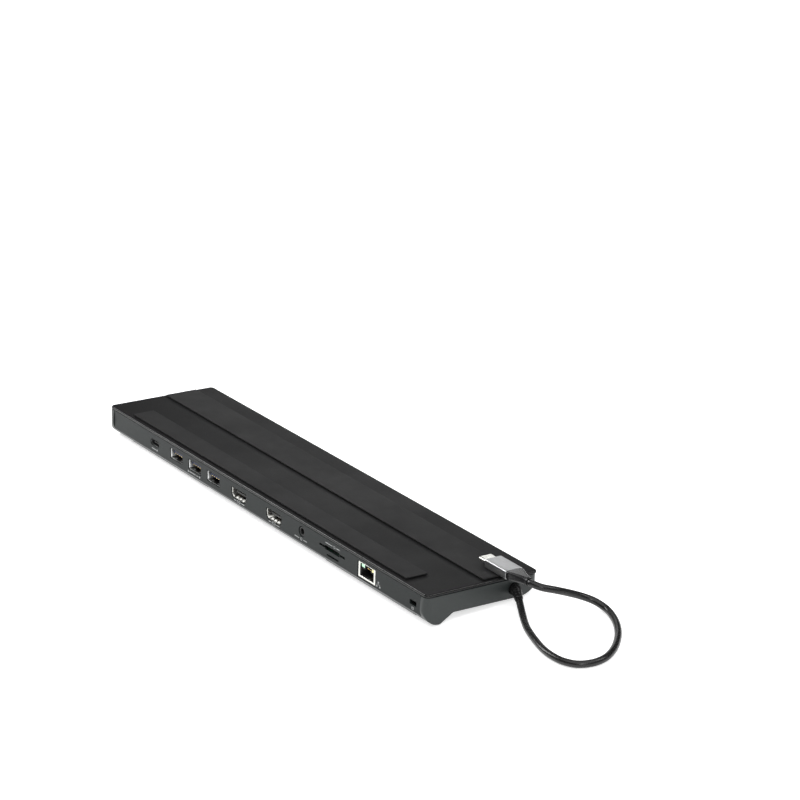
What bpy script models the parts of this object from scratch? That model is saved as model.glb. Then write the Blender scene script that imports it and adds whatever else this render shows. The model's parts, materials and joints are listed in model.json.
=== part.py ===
"""Laptop docking station: a long low bar that a laptop stands on.

Metres, +Z up. The dock stands on its rear ridge and its front pads, so its body is tilted by TILT about X.
Everything on the body is placed in the body's own level frame, and an empty called body_frame carries
that frame, tilt included. In the body frame X runs along the bar, +Y is the rear (the socket side), -Y is
the side that faces the user, and Z is 0 at the lowest line of the rear ridge.
"""

import math

import bmesh
import bpy
from mathutils import Vector

MM = 0.001

# Whole body
LENGTH = 330.0 * MM
DEPTH = 69.0 * MM
HEIGHT = 17.4 * MM
TILT = math.radians(5.0)
GAP = 0.3 * MM
HALF_LENGTH = LENGTH / 2
REAR = DEPTH / 2
FRONT = -DEPTH / 2

# Top cover: a thin plate with a narrow shadow gap above the case, and a boss over each case screw
COVER_THICKNESS = 1.6 * MM
COVER_CORNER = 2.5 * MM
COVER_EDGE = 0.35 * MM
COVER_UNDERSIDE = HEIGHT - COVER_THICKNESS
BOSS_RADIUS = 2.6 * MM
BOSS_BORE = 1.2 * MM
BOSS_LOW = 10.0 * MM
BOSS_BORE_TOP = 14.4 * MM

# Case
CASE_TOP = COVER_UNDERSIDE - GAP
CASE_CORNER = 4.0 * MM
END_WALL = 2.2 * MM
SHELL_WALL = 1.3 * MM
BELLY = 4.9 * MM
REAR_BULGE = 0.6 * MM
FOOT_REAR_RADIUS = 8.6 * MM
FOOT_FRONT_RADIUS = 3.2 * MM
FOOT_FLANK = math.radians(42.0)
FOOT_ROOT_RADIUS = 3.5 * MM
FOOT_ROOT_Y = REAR - 17.66 * MM
NOSE_LENGTH = 12.0 * MM
NOSE_TOP = 14.5 * MM
FLOOR = BELLY + SHELL_WALL
CASE_POST_RADIUS = 3.4 * MM
CASE_POST_HEIGHT = 3.5 * MM
CASE_POST_BORE = 1.3 * MM
SCREW_SEAT = BELLY + 1.9 * MM
SCREW_WELL_RADIUS = 2.5 * MM
SCREW_WELL_TOP = BELLY + 2.2 * MM
BOARD_POST_RADIUS = 2.2 * MM
BOARD_POST_BORE = 0.9 * MM
BOARD_BORE_LOW = BELLY + 0.8 * MM
ROOT = 0.5 * MM

# The case's back above the foot: an elliptical arc from the widest point up to the rim
BULGE_TURN = 25.0
BULGE_DEPTH = REAR_BULGE / (1 - math.cos(math.radians(BULGE_TURN)))
BULGE_RISE = (CASE_TOP - FOOT_REAR_RADIUS) / math.sin(math.radians(BULGE_TURN))

# Rear panel
PANEL_THICKNESS = 1.5 * MM
PANEL_BOTTOM = 4.7 * MM
PANEL_END = HALF_LENGTH - 5.2 * MM
PANEL_BACK = REAR - PANEL_THICKNESS
SOCKET_FACE = REAR - 0.3 * MM

# Socket centres on the rear panel, (x, z)
USB_C_AT = (111.9 * MM, 10.5 * MM)
USB_A_FIRST = (87.1 * MM, 10.6 * MM)
USB_A_PITCH = 20.55 * MM
USB_A_COUNT = 3
DISPLAY_FIRST = (18.4 * MM, 9.8 * MM)
DISPLAY_PITCH = 36.8 * MM
DISPLAY_COUNT = 2
AUDIO_AT = (-46.7 * MM, 11.2 * MM)
SD_AT = (-76.8 * MM, 10.6 * MM)
MICRO_SD_AT = (-77.6 * MM, 6.95 * MM)
NETWORK_AT = (-109.8 * MM, 9.9 * MM)
LOCK_AT = (-153.0 * MM, 9.3 * MM)

# Socket sizes, (width, height)
USB_C_SIZE = (9.0 * MM, 3.2 * MM)
USB_A_SIZE = (13.1 * MM, 5.5 * MM)
DISPLAY_SIZE = (15.0 * MM, 5.5 * MM)
NETWORK_SIZE = (15.9 * MM, 8.4 * MM)
SD_SLOT = (24.6 * MM, 1.1 * MM)
SD_SLOT_MIDDLE = (13.6 * MM, 2.2 * MM)
MICRO_SD_SLOT = (11.3 * MM, 0.9 * MM)
LOCK_SLOT = (6.0 * MM, 2.5 * MM)
NETWORK_WALL = 0.35 * MM
NETWORK_FRONT = SOCKET_FACE - 0.4 * MM - GAP
AUDIO_RING = 2.6 * MM
AUDIO_BORE = 1.75 * MM
SHEET = 0.3 * MM

# Main board
BOARD_TOP = 9.1 * MM
BOARD_THICKNESS = 1.2 * MM
BOARD_BOTTOM = BOARD_TOP - BOARD_THICKNESS
BOARD_REAR = PANEL_BACK - 0.6 * MM
CARD_SOCKET_FRONT = PANEL_BACK - 0.5 * MM
BOARD_FRONT = -10.5 * MM
BOARD_LEFT = -144.0 * MM
BOARD_RIGHT = 150.0 * MM
BOARD_SCREWS_AT = (
    (-133.0 * MM, -6.6 * MM),
    (-52.0 * MM, -6.6 * MM),
    (42.0 * MM, -6.6 * MM),
    (143.0 * MM, 12.4 * MM),
)
BOARD_HOLE = 1.6 * MM

# Case screws and pads
CASE_SCREW_XS = (-128.0 * MM, -43.0 * MM, 43.0 * MM, 128.0 * MM)
CASE_SCREW_Y = -15.5 * MM
FOOT_LINE_Y = REAR - 7.55 * MM
FOOT_PAD_DROP = 0.57 * MM
FOOT_PAD_HALF = 1.95 * MM
FOOT_POCKET_TOP = 0.7 * MM
REAR_PAD_SPAN = (62.0 * MM, 148.0 * MM)
FRONT_PAD_SPAN = (72.0 * MM, 120.0 * MM)
FRONT_PAD_REAR = -9.5 * MM
FRONT_PAD_FRONT = -21.0 * MM

# Grip strips on the top cover, (rear edge y, front edge y, inset of the ends)
STRIP_HEIGHT = 1.0 * MM
REAR_STRIP = (REAR - 2.9 * MM, REAR - 16.2 * MM, 22.8 * MM)
FRONT_STRIP = (REAR - 36.0 * MM, REAR - 56.5 * MM, 2.2 * MM)

# Heat path: chip, pad and spreader, from the board up
CHIP_HEIGHT = 1.2 * MM
PAD_LIFT = 1.8 * MM
PAD_HEIGHT = 2.7 * MM
SPREADER_HEIGHT = 1.0 * MM

# Host cable and plug
CABLE_RADIUS = 1.9 * MM
CABLE_Y = REAR - 54.0 * MM
CABLE_Z = 10.3 * MM
RELIEF_RADIUS = 2.9 * MM
RELIEF_BEND_RADIUS = 2.6 * MM
RELIEF_TIP_RADIUS = 2.25 * MM
RELIEF_FLANGE_RADIUS = 3.8 * MM
RELIEF_FLANGE_THICKNESS = 1.3 * MM
PLUG_SIZE = (18.3 * MM, 10.6 * MM, 4.8 * MM)
PLUG_END_X = -HALF_LENGTH - 4.7 * MM
PLUG_Y = REAR - 50.0 * MM
PLUG_Z = HEIGHT + STRIP_HEIGHT + GAP + PLUG_SIZE[2] / 2
PLUG_AT = (PLUG_Y, PLUG_Z)
PLUG_CORNER = 0.9 * MM
PLUG_WALL = 0.5 * MM
BOOT_LENGTH = 12.4 * MM
COLLAR_RADIUS = 2.3 * MM
COLLAR_LENGTH = 1.0 * MM

# World place of the body frame: the rear pads touch z = 0, and the body is centred on x = 0, y = 0
CONTACT_Z = -FOOT_PAD_DROP + FOOT_LINE_Y * math.tan(TILT)
FRAME_Z = -CONTACT_Z * math.cos(TILT)
FRAME_Y = 0.96 * MM

# Route of the host cable in world coordinates, from the strain relief round to the plug's collar
CABLE_ROUTE = [
    (-173.8, -16.1, 4.8),
    (-181.0, -12.3, 3.1),
    (-189.0, -8.0, 2.1),
    (-197.0, -4.0, 1.95),
    (-205.0, -0.9, 1.95),
    (-213.5, 1.8, 1.95),
    (-222.0, 4.0, 1.95),
    (-230.5, 4.9, 1.95),
    (-238.8, 4.1, 1.95),
    (-245.6, 0.6, 1.95),
    (-249.1, -6.0, 1.95),
    (-248.8, -13.6, 1.95),
    (-245.2, -20.9, 1.95),
    (-239.6, -27.8, 1.95),
    (-232.2, -34.6, 1.95),
    (-224.0, -40.2, 1.95),
    (-215.0, -44.6, 1.95),
    (-206.2, -47.0, 2.4),
    (-198.9, -45.2, 4.5),
    (-194.8, -39.9, 7.4),
    (-193.4, -33.2, 10.7),
    (-192.7, -26.4, 13.9),
]


# ---------------------------------------------------------------- scene helpers


def clear_scene():
    for obj in list(bpy.data.objects):
        bpy.data.objects.remove(obj, do_unlink=True)


def new_collection(name):
    collection = bpy.data.collections.new(name)
    bpy.context.scene.collection.children.link(collection)
    return collection


def new_material(name, colour, roughness, metallic=0.0):
    material = bpy.data.materials.new(name)
    material.use_nodes = True
    shader = material.node_tree.nodes["Principled BSDF"]
    shader.inputs["Base Color"].default_value = (*colour, 1.0)
    shader.inputs["Roughness"].default_value = roughness
    shader.inputs["Metallic"].default_value = metallic
    material.diffuse_color = (*colour, 1.0)
    return material


def place(obj, collection, frame):
    for owner in list(obj.users_collection):
        owner.objects.unlink(obj)
    collection.objects.link(obj)
    obj.parent = frame
    return obj


def part(obj, name, material):
    """Make obj one of the dock's own pieces."""
    obj.name = name
    obj.data.name = name
    obj.data.materials.clear()
    obj.data.materials.append(material)
    return place(obj, DOCK, BODY)


def cutter(obj, frame=None):
    """Make obj a tool that shapes another piece and isn't a piece itself."""
    obj.hide_render = True
    obj.display_type = "WIRE"
    return place(obj, CUTTERS, frame or BODY)


def mesh_object(mesh):
    obj = bpy.data.objects.new("shape", mesh)
    bpy.context.scene.collection.objects.link(obj)
    return obj


def boolean(obj, other, operation="DIFFERENCE"):
    modifier = obj.modifiers.new(operation.lower(), "BOOLEAN")
    modifier.object = other
    modifier.operation = operation
    modifier.solver = "EXACT"
    return obj


def bevel(obj, width, segments=2, angle=math.radians(40.0)):
    modifier = obj.modifiers.new("edges", "BEVEL")
    modifier.width = width
    modifier.segments = segments
    modifier.limit_method = "ANGLE"
    modifier.angle_limit = angle
    return obj


def smooth(obj, angle=math.radians(35.0)):
    obj.data.shade_smooth()
    obj.data.set_sharp_from_angle(angle=angle)
    return obj


# ---------------------------------------------------------------- outlines


def arc(centre, radius_u, radius_v, start, end, count):
    """Points on an elliptical arc, angles in degrees, both ends included."""
    points = []
    for step in range(count + 1):
        angle = math.radians(start + (end - start) * step / count)
        points.append((centre[0] + radius_u * math.cos(angle), centre[1] + radius_v * math.sin(angle)))
    return points


def rectangle(width, height, centre=(0.0, 0.0)):
    u, v = width / 2, height / 2
    return [(centre[0] + a, centre[1] + b) for a, b in ((-u, -v), (u, -v), (u, v), (-u, v))]


def rounded(width, height, radius, centre=(0.0, 0.0), count=4):
    points = []
    for turn, (side_u, side_v) in enumerate(((1, 1), (-1, 1), (-1, -1), (1, -1))):
        corner = (centre[0] + side_u * (width / 2 - radius), centre[1] + side_v * (height / 2 - radius))
        points += arc(corner, radius, radius, 90 * turn, 90 * turn + 90, count)
    return points


def circle(radius, centre=(0.0, 0.0), count=16):
    return arc(centre, radius, radius, 0, 360 - 360 / count, count - 1)


def d_shape(width, height, centre, grow=0.0):
    """The display socket's outline: wide on top, with its two lower corners cut off."""
    u, v = width / 2 + grow, height / 2 + grow
    foot = u - 2.0 * MM
    shoulder = -v + 1.7 * MM
    points = [(u, v), (-u, v), (-u, shoulder), (-foot, -v), (foot, -v), (u, shoulder)]
    return [(centre[0] + a, centre[1] + b) for a, b in points]


def plus_slot(outer, middle, centre):
    """A thin slot with a taller middle."""
    u, v = outer[0] / 2, outer[1] / 2
    m, t = middle[0] / 2, middle[1] / 2
    points = [(-u, -v), (-m, -v), (-m, -t), (m, -t), (m, -v), (u, -v)]
    points += [(-a, -b) for a, b in points]
    return [(centre[0] + a, centre[1] + b) for a, b in points]


AXES = {
    # plane: rotation that lays the flat outline in it, and its thickness along the third axis
    "XY": (0.0, 0.0, 0.0),
    "XZ": (math.radians(90.0), 0.0, 0.0),
    "YZ": (math.radians(90.0), 0.0, math.radians(90.0)),
}


def slab(loops, thickness, middle, plane):
    """A flat outline with holes, given as closed loops, made solid around the plane at `middle`.

    In XY the loops are (x, y) and middle is z; in XZ they are (x, z) and middle is y; in YZ (y, z) and x.
    """
    curve = bpy.data.curves.new("outline", "CURVE")
    curve.dimensions = "2D"
    curve.fill_mode = "BOTH"
    curve.extrude = thickness / 2
    for loop in loops:
        spline = curve.splines.new("POLY")
        spline.points.add(len(loop) - 1)
        for point, (u, v) in zip(spline.points, loop):
            point.co = (u, v, 0.0, 1.0)
        spline.use_cyclic_u = True
    drawn = bpy.data.objects.new("outline", curve)
    bpy.context.scene.collection.objects.link(drawn)
    shift = {"XY": (0, 0, middle), "XZ": (0, middle, 0), "YZ": (middle, 0, 0)}[plane]
    drawn.rotation_euler = AXES[plane]
    drawn.location = shift
    return solid_from_curve(drawn)


def solid_from_curve(drawn):
    """Turn a curve into a closed mesh in the same place, and remove the curve."""
    bpy.context.view_layer.update()
    evaluated = drawn.evaluated_get(bpy.context.evaluated_depsgraph_get())
    mesh = bpy.data.meshes.new_from_object(evaluated)
    mesh.transform(drawn.matrix_world)
    welded = bmesh.new()
    welded.from_mesh(mesh)
    bmesh.ops.remove_doubles(welded, verts=welded.verts, dist=0.000001)
    bmesh.ops.dissolve_limit(welded, angle_limit=0.001, verts=welded.verts, edges=welded.edges)
    bmesh.ops.recalc_face_normals(welded, faces=welded.faces)
    welded.to_mesh(mesh)
    welded.free()
    bpy.data.objects.remove(drawn, do_unlink=True)
    return mesh_object(mesh)


# ---------------------------------------------------------------- solids


def block(low, high):
    """A box between two corners."""
    size = [b - a for a, b in zip(low, high)]
    centre = [(a + b) / 2 for a, b in zip(low, high)]
    bpy.ops.mesh.primitive_cube_add(size=1.0, location=centre)
    obj = bpy.context.object
    obj.scale = size
    bpy.ops.object.transform_apply(location=False, rotation=False, scale=True)
    return obj


def rod(radius, base, length, axis="Z", count=16):
    """A cylinder that starts at base and runs along +axis."""
    turn = {"X": (0, math.radians(90), 0), "Y": (math.radians(90), 0, 0), "Z": (0, 0, 0)}[axis]
    step = {"X": Vector((1, 0, 0)), "Y": Vector((0, 1, 0)), "Z": Vector((0, 0, 1))}[axis]
    middle = Vector(base) + step * length / 2
    size = {"vertices": count, "radius": radius, "depth": length}
    bpy.ops.mesh.primitive_cylinder_add(**size, location=middle, rotation=turn)
    return bpy.context.object


def joined(shapes):
    """Several separate solids as one object."""
    bpy.ops.object.select_all(action="DESELECT")
    for shape in shapes:
        shape.select_set(True)
    bpy.context.view_layer.objects.active = shapes[0]
    bpy.ops.object.join()
    return bpy.context.object


def loft(rings):
    """A closed solid through rings that have the same number of points."""
    mesh = bpy.data.meshes.new("loft")
    shape = bmesh.new()
    rows = [[shape.verts.new(point) for point in ring] for ring in rings]
    count = len(rows[0])
    for here, there in zip(rows, rows[1:]):
        for k in range(count):
            n = (k + 1) % count
            shape.faces.new((here[k], here[n], there[n], there[k]))
    shape.faces.new(rows[0])
    shape.faces.new(list(reversed(rows[-1])))
    bmesh.ops.recalc_face_normals(shape, faces=shape.faces)
    shape.to_mesh(mesh)
    shape.free()
    return mesh_object(mesh)


def tube(points, radii, resolution=2):
    """A bent round solid through points, with a radius at each."""
    curve = bpy.data.curves.new("tube", "CURVE")
    curve.dimensions = "3D"
    curve.bevel_depth = 1.0 * MM
    curve.bevel_resolution = resolution
    curve.use_fill_caps = True
    spline = curve.splines.new("POLY")
    spline.points.add(len(points) - 1)
    for knot, point, radius in zip(spline.points, points, radii):
        knot.co = (*point, 1.0)
        knot.radius = radius / (1.0 * MM)
    drawn = bpy.data.objects.new("tube", curve)
    bpy.context.scene.collection.objects.link(drawn)
    return drawn


def smooth_path(knots, spacing):
    """Points on a smooth curve through the knots, each stretch between two knots in equal steps."""
    knots = [Vector(knot) for knot in knots]
    ends = [2 * knots[0] - knots[1], *knots, 2 * knots[-1] - knots[-2]]
    path = []
    for a, b, c, d in zip(ends, ends[1:], ends[2:], ends[3:]):
        count = max(1, round((c - b).length / spacing))
        for step in range(count):
            t = step / count
            bend = 2 * b + (c - a) * t + (2 * a - 5 * b + 4 * c - d) * t * t
            path.append((bend + (3 * b - a - 3 * c + d) * t * t * t) / 2)
    path.append(knots[-1])
    return path


# ---------------------------------------------------------------- cover and case


def case_section(inset, top):
    """The case's side outline, (y, z), drawn `inset` inside its skin and open-topped at `top`."""
    widest = REAR + REAR_BULGE
    back = (widest - BULGE_DEPTH, FOOT_REAR_RADIUS)
    foot_rear = (widest - FOOT_REAR_RADIUS, FOOT_REAR_RADIUS)
    foot_front = (foot_rear[0], FOOT_FRONT_RADIUS)
    root = (FOOT_ROOT_Y, BELLY - FOOT_ROOT_RADIUS)
    nose = (FRONT + NOSE_LENGTH, NOSE_TOP)
    flank = math.degrees(FOOT_FLANK)
    points = arc(back, BULGE_DEPTH - inset, BULGE_RISE, BULGE_TURN, 0, 4)
    if top > CASE_TOP:
        points.insert(0, (points[0][0], top))
    points += arc(foot_rear, FOOT_REAR_RADIUS - inset, FOOT_REAR_RADIUS - inset, 0, -90, 8)[1:]
    points += arc(foot_front, FOOT_FRONT_RADIUS - inset, FOOT_FRONT_RADIUS - inset, -90, -90 - flank, 4)[1:]
    points += arc(root, FOOT_ROOT_RADIUS + inset, FOOT_ROOT_RADIUS + inset, 90 - flank, 90, 4)
    points += arc(nose, NOSE_LENGTH - inset, NOSE_TOP - BELLY - inset, -90, -180, 7)
    points.append((nose[0] - NOSE_LENGTH + inset, top))
    return points


def make_top_cover(material):
    plan = rounded(LENGTH, DEPTH, COVER_CORNER)
    plate = slab([plan], COVER_THICKNESS, HEIGHT - COVER_THICKNESS / 2, "XY")
    bevel(plate, COVER_EDGE, 2)
    bosses = []
    holes = []
    boss_length = COVER_UNDERSIDE + ROOT - BOSS_LOW
    bore_length = BOSS_BORE_TOP + ROOT - BOSS_LOW
    for x in CASE_SCREW_XS:
        bosses.append(rod(BOSS_RADIUS, (x, CASE_SCREW_Y, BOSS_LOW), boss_length))
        holes.append(rod(BOSS_BORE, (x, CASE_SCREW_Y, BOSS_LOW - ROOT), bore_length, count=12))
    boolean(plate, cutter(joined(bosses)), "UNION")
    boolean(plate, cutter(joined(holes)))
    return part(plate, "top_cover", material)


def case_posts():
    """The posts inside the case that its own screws and the board's screws sit in."""
    posts = []
    for x, y in BOARD_SCREWS_AT:
        height = BOARD_BOTTOM - GAP - FLOOR + ROOT
        posts.append(rod(BOARD_POST_RADIUS, (x, y, FLOOR - ROOT), height, count=12))
    for x in CASE_SCREW_XS:
        posts.append(rod(CASE_POST_RADIUS, (x, CASE_SCREW_Y, FLOOR - ROOT), CASE_POST_HEIGHT + ROOT))
    return posts


def case_bores():
    """The holes down the middle of the posts, and the wells for the case screws' heads."""
    bores = []
    for x, y in BOARD_SCREWS_AT:
        bores.append(rod(BOARD_POST_BORE, (x, y, BOARD_BORE_LOW), BOARD_BOTTOM, count=8))
    wells = []
    for x in CASE_SCREW_XS:
        bores.append(rod(CASE_POST_BORE, (x, CASE_SCREW_Y, SCREW_SEAT - GAP), BELLY, count=12))
        wells.append(rod(SCREW_WELL_RADIUS, (x, CASE_SCREW_Y, 0.0), SCREW_WELL_TOP))
    return bores, wells


def foot_pockets():
    """The shallow pockets in the rear ridge that the rear pads sit in."""
    pockets = []
    for side in (-1, 1):
        low_x, high_x = sorted((side * REAR_PAD_SPAN[0], side * REAR_PAD_SPAN[1]))
        low = (low_x - GAP, FOOT_LINE_Y - FOOT_PAD_HALF - GAP, -ROOT)
        pockets.append(block(low, (high_x + GAP, FOOT_LINE_Y + FOOT_PAD_HALF + GAP, FOOT_POCKET_TOP)))
    return pockets


def make_lower_case(material):
    above = CASE_TOP + 3 * MM
    case = slab([case_section(0.0, CASE_TOP)], LENGTH, 0.0, "YZ")
    plan = rounded(LENGTH, DEPTH + REAR_BULGE, CASE_CORNER, (0.0, REAR_BULGE / 2), 5)
    boolean(case, cutter(slab([plan], 2 * above, 0.0, "XY")), "INTERSECT")
    cavity = slab([case_section(SHELL_WALL, above)], LENGTH - 2 * END_WALL, 0.0, "YZ")
    boolean(case, cutter(cavity))
    opening_end = PANEL_END + GAP
    opening_low = (-opening_end, PANEL_BACK - 2 * GAP, PANEL_BOTTOM - GAP)
    boolean(case, cutter(block(opening_low, (opening_end, REAR + 2 * MM, above))))
    boolean(case, cutter(joined(case_posts())), "UNION")
    bores, wells = case_bores()
    boolean(case, cutter(joined(bores)))
    boolean(case, cutter(joined(wells)))
    boolean(case, cutter(joined(foot_pockets())))
    gland = rod(RELIEF_RADIUS + GAP, (-HALF_LENGTH - MM, CABLE_Y, CABLE_Z), END_WALL + 4 * MM, axis="X")
    boolean(case, cutter(gland))
    return part(case, "lower_case", material)


def socket_openings():
    """Every hole in the rear panel, as outlines in (x, z), each a gap wider than what sits in it."""
    holes = [rounded(USB_C_SIZE[0] + 2 * GAP, USB_C_SIZE[1] + 2 * GAP, USB_C_SIZE[1] / 2 + GAP, USB_C_AT)]
    for k in range(USB_A_COUNT):
        at = (USB_A_FIRST[0] - k * USB_A_PITCH, USB_A_FIRST[1])
        holes.append(rectangle(USB_A_SIZE[0] + 2 * GAP, USB_A_SIZE[1] + 2 * GAP, at))
    for k in range(DISPLAY_COUNT):
        at = (DISPLAY_FIRST[0] - k * DISPLAY_PITCH, DISPLAY_FIRST[1])
        holes.append(d_shape(*DISPLAY_SIZE, at, grow=GAP))
    holes.append(circle(AUDIO_RING + GAP, AUDIO_AT, 24))
    holes.append(plus_slot(SD_SLOT, SD_SLOT_MIDDLE, SD_AT))
    holes.append(rectangle(*MICRO_SD_SLOT, MICRO_SD_AT))
    holes.append(rectangle(NETWORK_SIZE[0] + 2 * GAP, NETWORK_SIZE[1] + 2 * GAP, NETWORK_AT))
    holes.append(rounded(*LOCK_SLOT, 0.5 * MM, LOCK_AT, 2))
    return holes


def panel_section():
    """The panel's side outline, (y, z): flat, with its lower edge following the case's round back."""
    centre_y = REAR + REAR_BULGE - FOOT_REAR_RADIUS
    low_turn = -math.degrees(math.asin((FOOT_REAR_RADIUS - PANEL_BOTTOM) / FOOT_REAR_RADIUS))
    high_turn = -math.degrees(math.acos((REAR - centre_y) / FOOT_REAR_RADIUS))
    lower_edge = arc((centre_y, FOOT_REAR_RADIUS), FOOT_REAR_RADIUS, FOOT_REAR_RADIUS, low_turn, high_turn, 3)
    return lower_edge + [(REAR, CASE_TOP), (PANEL_BACK, CASE_TOP), (PANEL_BACK, PANEL_BOTTOM)]


def make_rear_panel(material):
    panel = slab([panel_section()], 2 * PANEL_END, 0.0, "YZ")
    depth = PANEL_THICKNESS + 2 * MM
    openings = [slab([hole], depth, REAR - PANEL_THICKNESS / 2, "XZ") for hole in socket_openings()]
    boolean(panel, cutter(joined(openings)))
    return part(panel, "rear_panel", material)


def make_strip(name, strip, material):
    rear, front, inset = strip
    low = (-HALF_LENGTH + inset, front, HEIGHT + GAP)
    body = block(low, (HALF_LENGTH - inset, rear, HEIGHT + STRIP_HEIGHT))
    bevel(body, 0.2 * MM, 1)
    return part(body, name, material)


def contact_z(y):
    """Height, in the body frame, of the table under the tilted body."""
    return CONTACT_Z - y * math.tan(TILT)


def make_pad(name, span, rear, front, top, material):
    """A rubber pad whose underside lies flat on the table."""
    outline = [(rear, top), (rear, contact_z(rear)), (front, contact_z(front)), (front, top)]
    pad = slab([outline], span[1] - span[0], (span[0] + span[1]) / 2, "YZ")
    return part(pad, name, material)


def make_pads(material):
    for side, label in ((-1, "left"), (1, "right")):
        rear_span = sorted((side * REAR_PAD_SPAN[0], side * REAR_PAD_SPAN[1]))
        front_span = sorted((side * FRONT_PAD_SPAN[0], side * FRONT_PAD_SPAN[1]))
        rear_y, front_y = FOOT_LINE_Y + FOOT_PAD_HALF, FOOT_LINE_Y - FOOT_PAD_HALF
        make_pad(f"rear_foot_{label}", rear_span, rear_y, front_y, FOOT_POCKET_TOP - GAP, material)
        make_pad(f"front_foot_{label}", front_span, FRONT_PAD_REAR, FRONT_PAD_FRONT, BELLY - GAP, material)


def make_screws(name, places, steps, material):
    """Upright screws, each its own node; steps are the (radius, z) corners of its side, bottom to top."""
    for number, (x, y) in enumerate(places, 1):
        rings = []
        for radius, z in steps:
            rings.append([(x + u, y + v, z) for u, v in circle(radius, count=12)])
        part(smooth(loft(rings)), f"{name}_{number}", material)


def make_case_screws(metal):
    """Long screws from below, through the case's posts into the cover's bosses."""
    head = BELLY + 0.5 * MM
    steps = [(2.1 * MM, head), (2.1 * MM, SCREW_SEAT), (0.95 * MM, SCREW_SEAT), (0.95 * MM, 13.6 * MM)]
    make_screws("case_screw", [(x, CASE_SCREW_Y) for x in CASE_SCREW_XS], steps, metal)


def make_board_screws(metal):
    """Short screws from above, through the board into its posts."""
    seat = BOARD_TOP + GAP
    steps = [(0.6 * MM, BELLY + 1.2 * MM), (0.6 * MM, seat), (1.9 * MM, seat), (1.9 * MM, seat + 1.1 * MM)]
    make_screws("board_screw", BOARD_SCREWS_AT, steps, metal)


# ---------------------------------------------------------------- board and what is on it


def soldered_parts():
    """The small parts that are soldered down and never come off the board: one body with it."""
    root = BOARD_TOP - 0.4 * MM
    parts = []
    for k in range(3):
        x = (122 + 9 * k) * MM
        parts.append(block((x, -5 * MM, root), (x + 7 * MM, 2 * MM, BOARD_TOP + 3.0 * MM)))
    for x in (96, 84, -30, -42):
        parts.append(rod(2.0 * MM, (x * MM, -8.2 * MM, root), 4.4 * MM, count=14))
    for x, y, size, height in ((-101, 5, 8, 1.0), (106, 8, 7, 1.0)):
        half = size / 2
        low = ((x - half) * MM, (y - half) * MM, root)
        parts.append(block(low, ((x + half) * MM, (y + half) * MM, BOARD_TOP + height * MM)))
    return parts


def make_main_board(material):
    rear, front = BOARD_REAR, BOARD_FRONT
    cuts = [(USB_C_AT[0], USB_C_SIZE[0], 9.0)]
    cuts += [(USB_A_FIRST[0] - k * USB_A_PITCH, USB_A_SIZE[0], 14.5) for k in range(USB_A_COUNT)]
    cuts += [(DISPLAY_FIRST[0] - k * DISPLAY_PITCH, DISPLAY_SIZE[0], 11.5) for k in range(DISPLAY_COUNT)]
    cuts += [(AUDIO_AT[0], 6.4 * MM, 12.5), (NETWORK_AT[0], NETWORK_SIZE[0], 16.5)]
    edge = [(BOARD_LEFT, front), (BOARD_RIGHT, front), (BOARD_RIGHT, rear)]
    for x, width, reach in sorted(cuts, reverse=True):
        half = width / 2 + GAP
        deep = REAR - reach * MM
        edge += [(x + half, rear), (x + half, deep), (x - half, deep), (x - half, rear)]
    edge.append((BOARD_LEFT, rear))
    holes = [circle(BOARD_HOLE, at, 12) for at in BOARD_SCREWS_AT]
    board = slab([edge, *holes], BOARD_THICKNESS, BOARD_TOP - BOARD_THICKNESS / 2, "XY")
    boolean(board, cutter(joined(soldered_parts())), "UNION")
    return part(board, "main_board", material)


def chip(name, at, size, material, lift=GAP):
    low = (at[0] - size[0] / 2, at[1] - size[1] / 2, BOARD_TOP + lift)
    high = (at[0] + size[0] / 2, at[1] + size[1] / 2, BOARD_TOP + lift + size[2])
    return part(block(low, high), name, material)


def make_chips(black, pad, aluminium):
    for name, at, size in (("hub", (66 * MM, 4 * MM), 12 * MM), ("display", (0, 6 * MM), 14 * MM)):
        chip(f"{name}_chip", at, (size, size, CHIP_HEIGHT), black)
        chip(f"{name}_thermal_pad", at, (size - MM, size - MM, PAD_HEIGHT), pad, lift=PAD_LIFT)
    chip("network_transformer", (-118 * MM, 8 * MM), (16 * MM, 9 * MM, 3.6 * MM), black)
    low_z = BOARD_TOP + PAD_LIFT + PAD_HEIGHT + GAP
    spreader = block((-22 * MM, -5.5 * MM, low_z), (78 * MM, 18 * MM, low_z + SPREADER_HEIGHT))
    part(spreader, "heat_spreader", aluminium)


def frame_tube(outer, inner, depth):
    """A rectangular or shaped tube that runs inwards from the socket face."""
    return slab([outer, inner], depth, SOCKET_FACE - depth / 2, "XZ")


def shelf(x, width, profile, name, material):
    """A moulding of constant width: profile in (y, z)."""
    return part(slab([profile], width, x, "YZ"), name, material)


def make_usb_c(metal, black):
    x, z = USB_C_AT
    width, height = USB_C_SIZE
    outer = rounded(width, height, height / 2 - 0.01 * MM, USB_C_AT)
    inner = rounded(width - 2 * SHEET, height - 2 * SHEET, height / 2 - SHEET - 0.01 * MM, USB_C_AT)
    part(frame_tube(outer, inner, 7.6 * MM), "usb_c_shell", metal)
    back = REAR - 7.7 * MM
    front = SOCKET_FACE - 1.0 * MM
    profile = [
        (back, z - 1.0 * MM),
        (back + 1.6 * MM, z - 1.0 * MM),
        (back + 1.6 * MM, z - 0.35 * MM),
        (front, z - 0.35 * MM),
        (front, z + 0.35 * MM),
        (back + 1.6 * MM, z + 0.35 * MM),
        (back + 1.6 * MM, z + 1.0 * MM),
        (back, z + 1.0 * MM),
    ]
    shelf(x, 6.6 * MM, profile, "usb_c_tongue", black)


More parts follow.
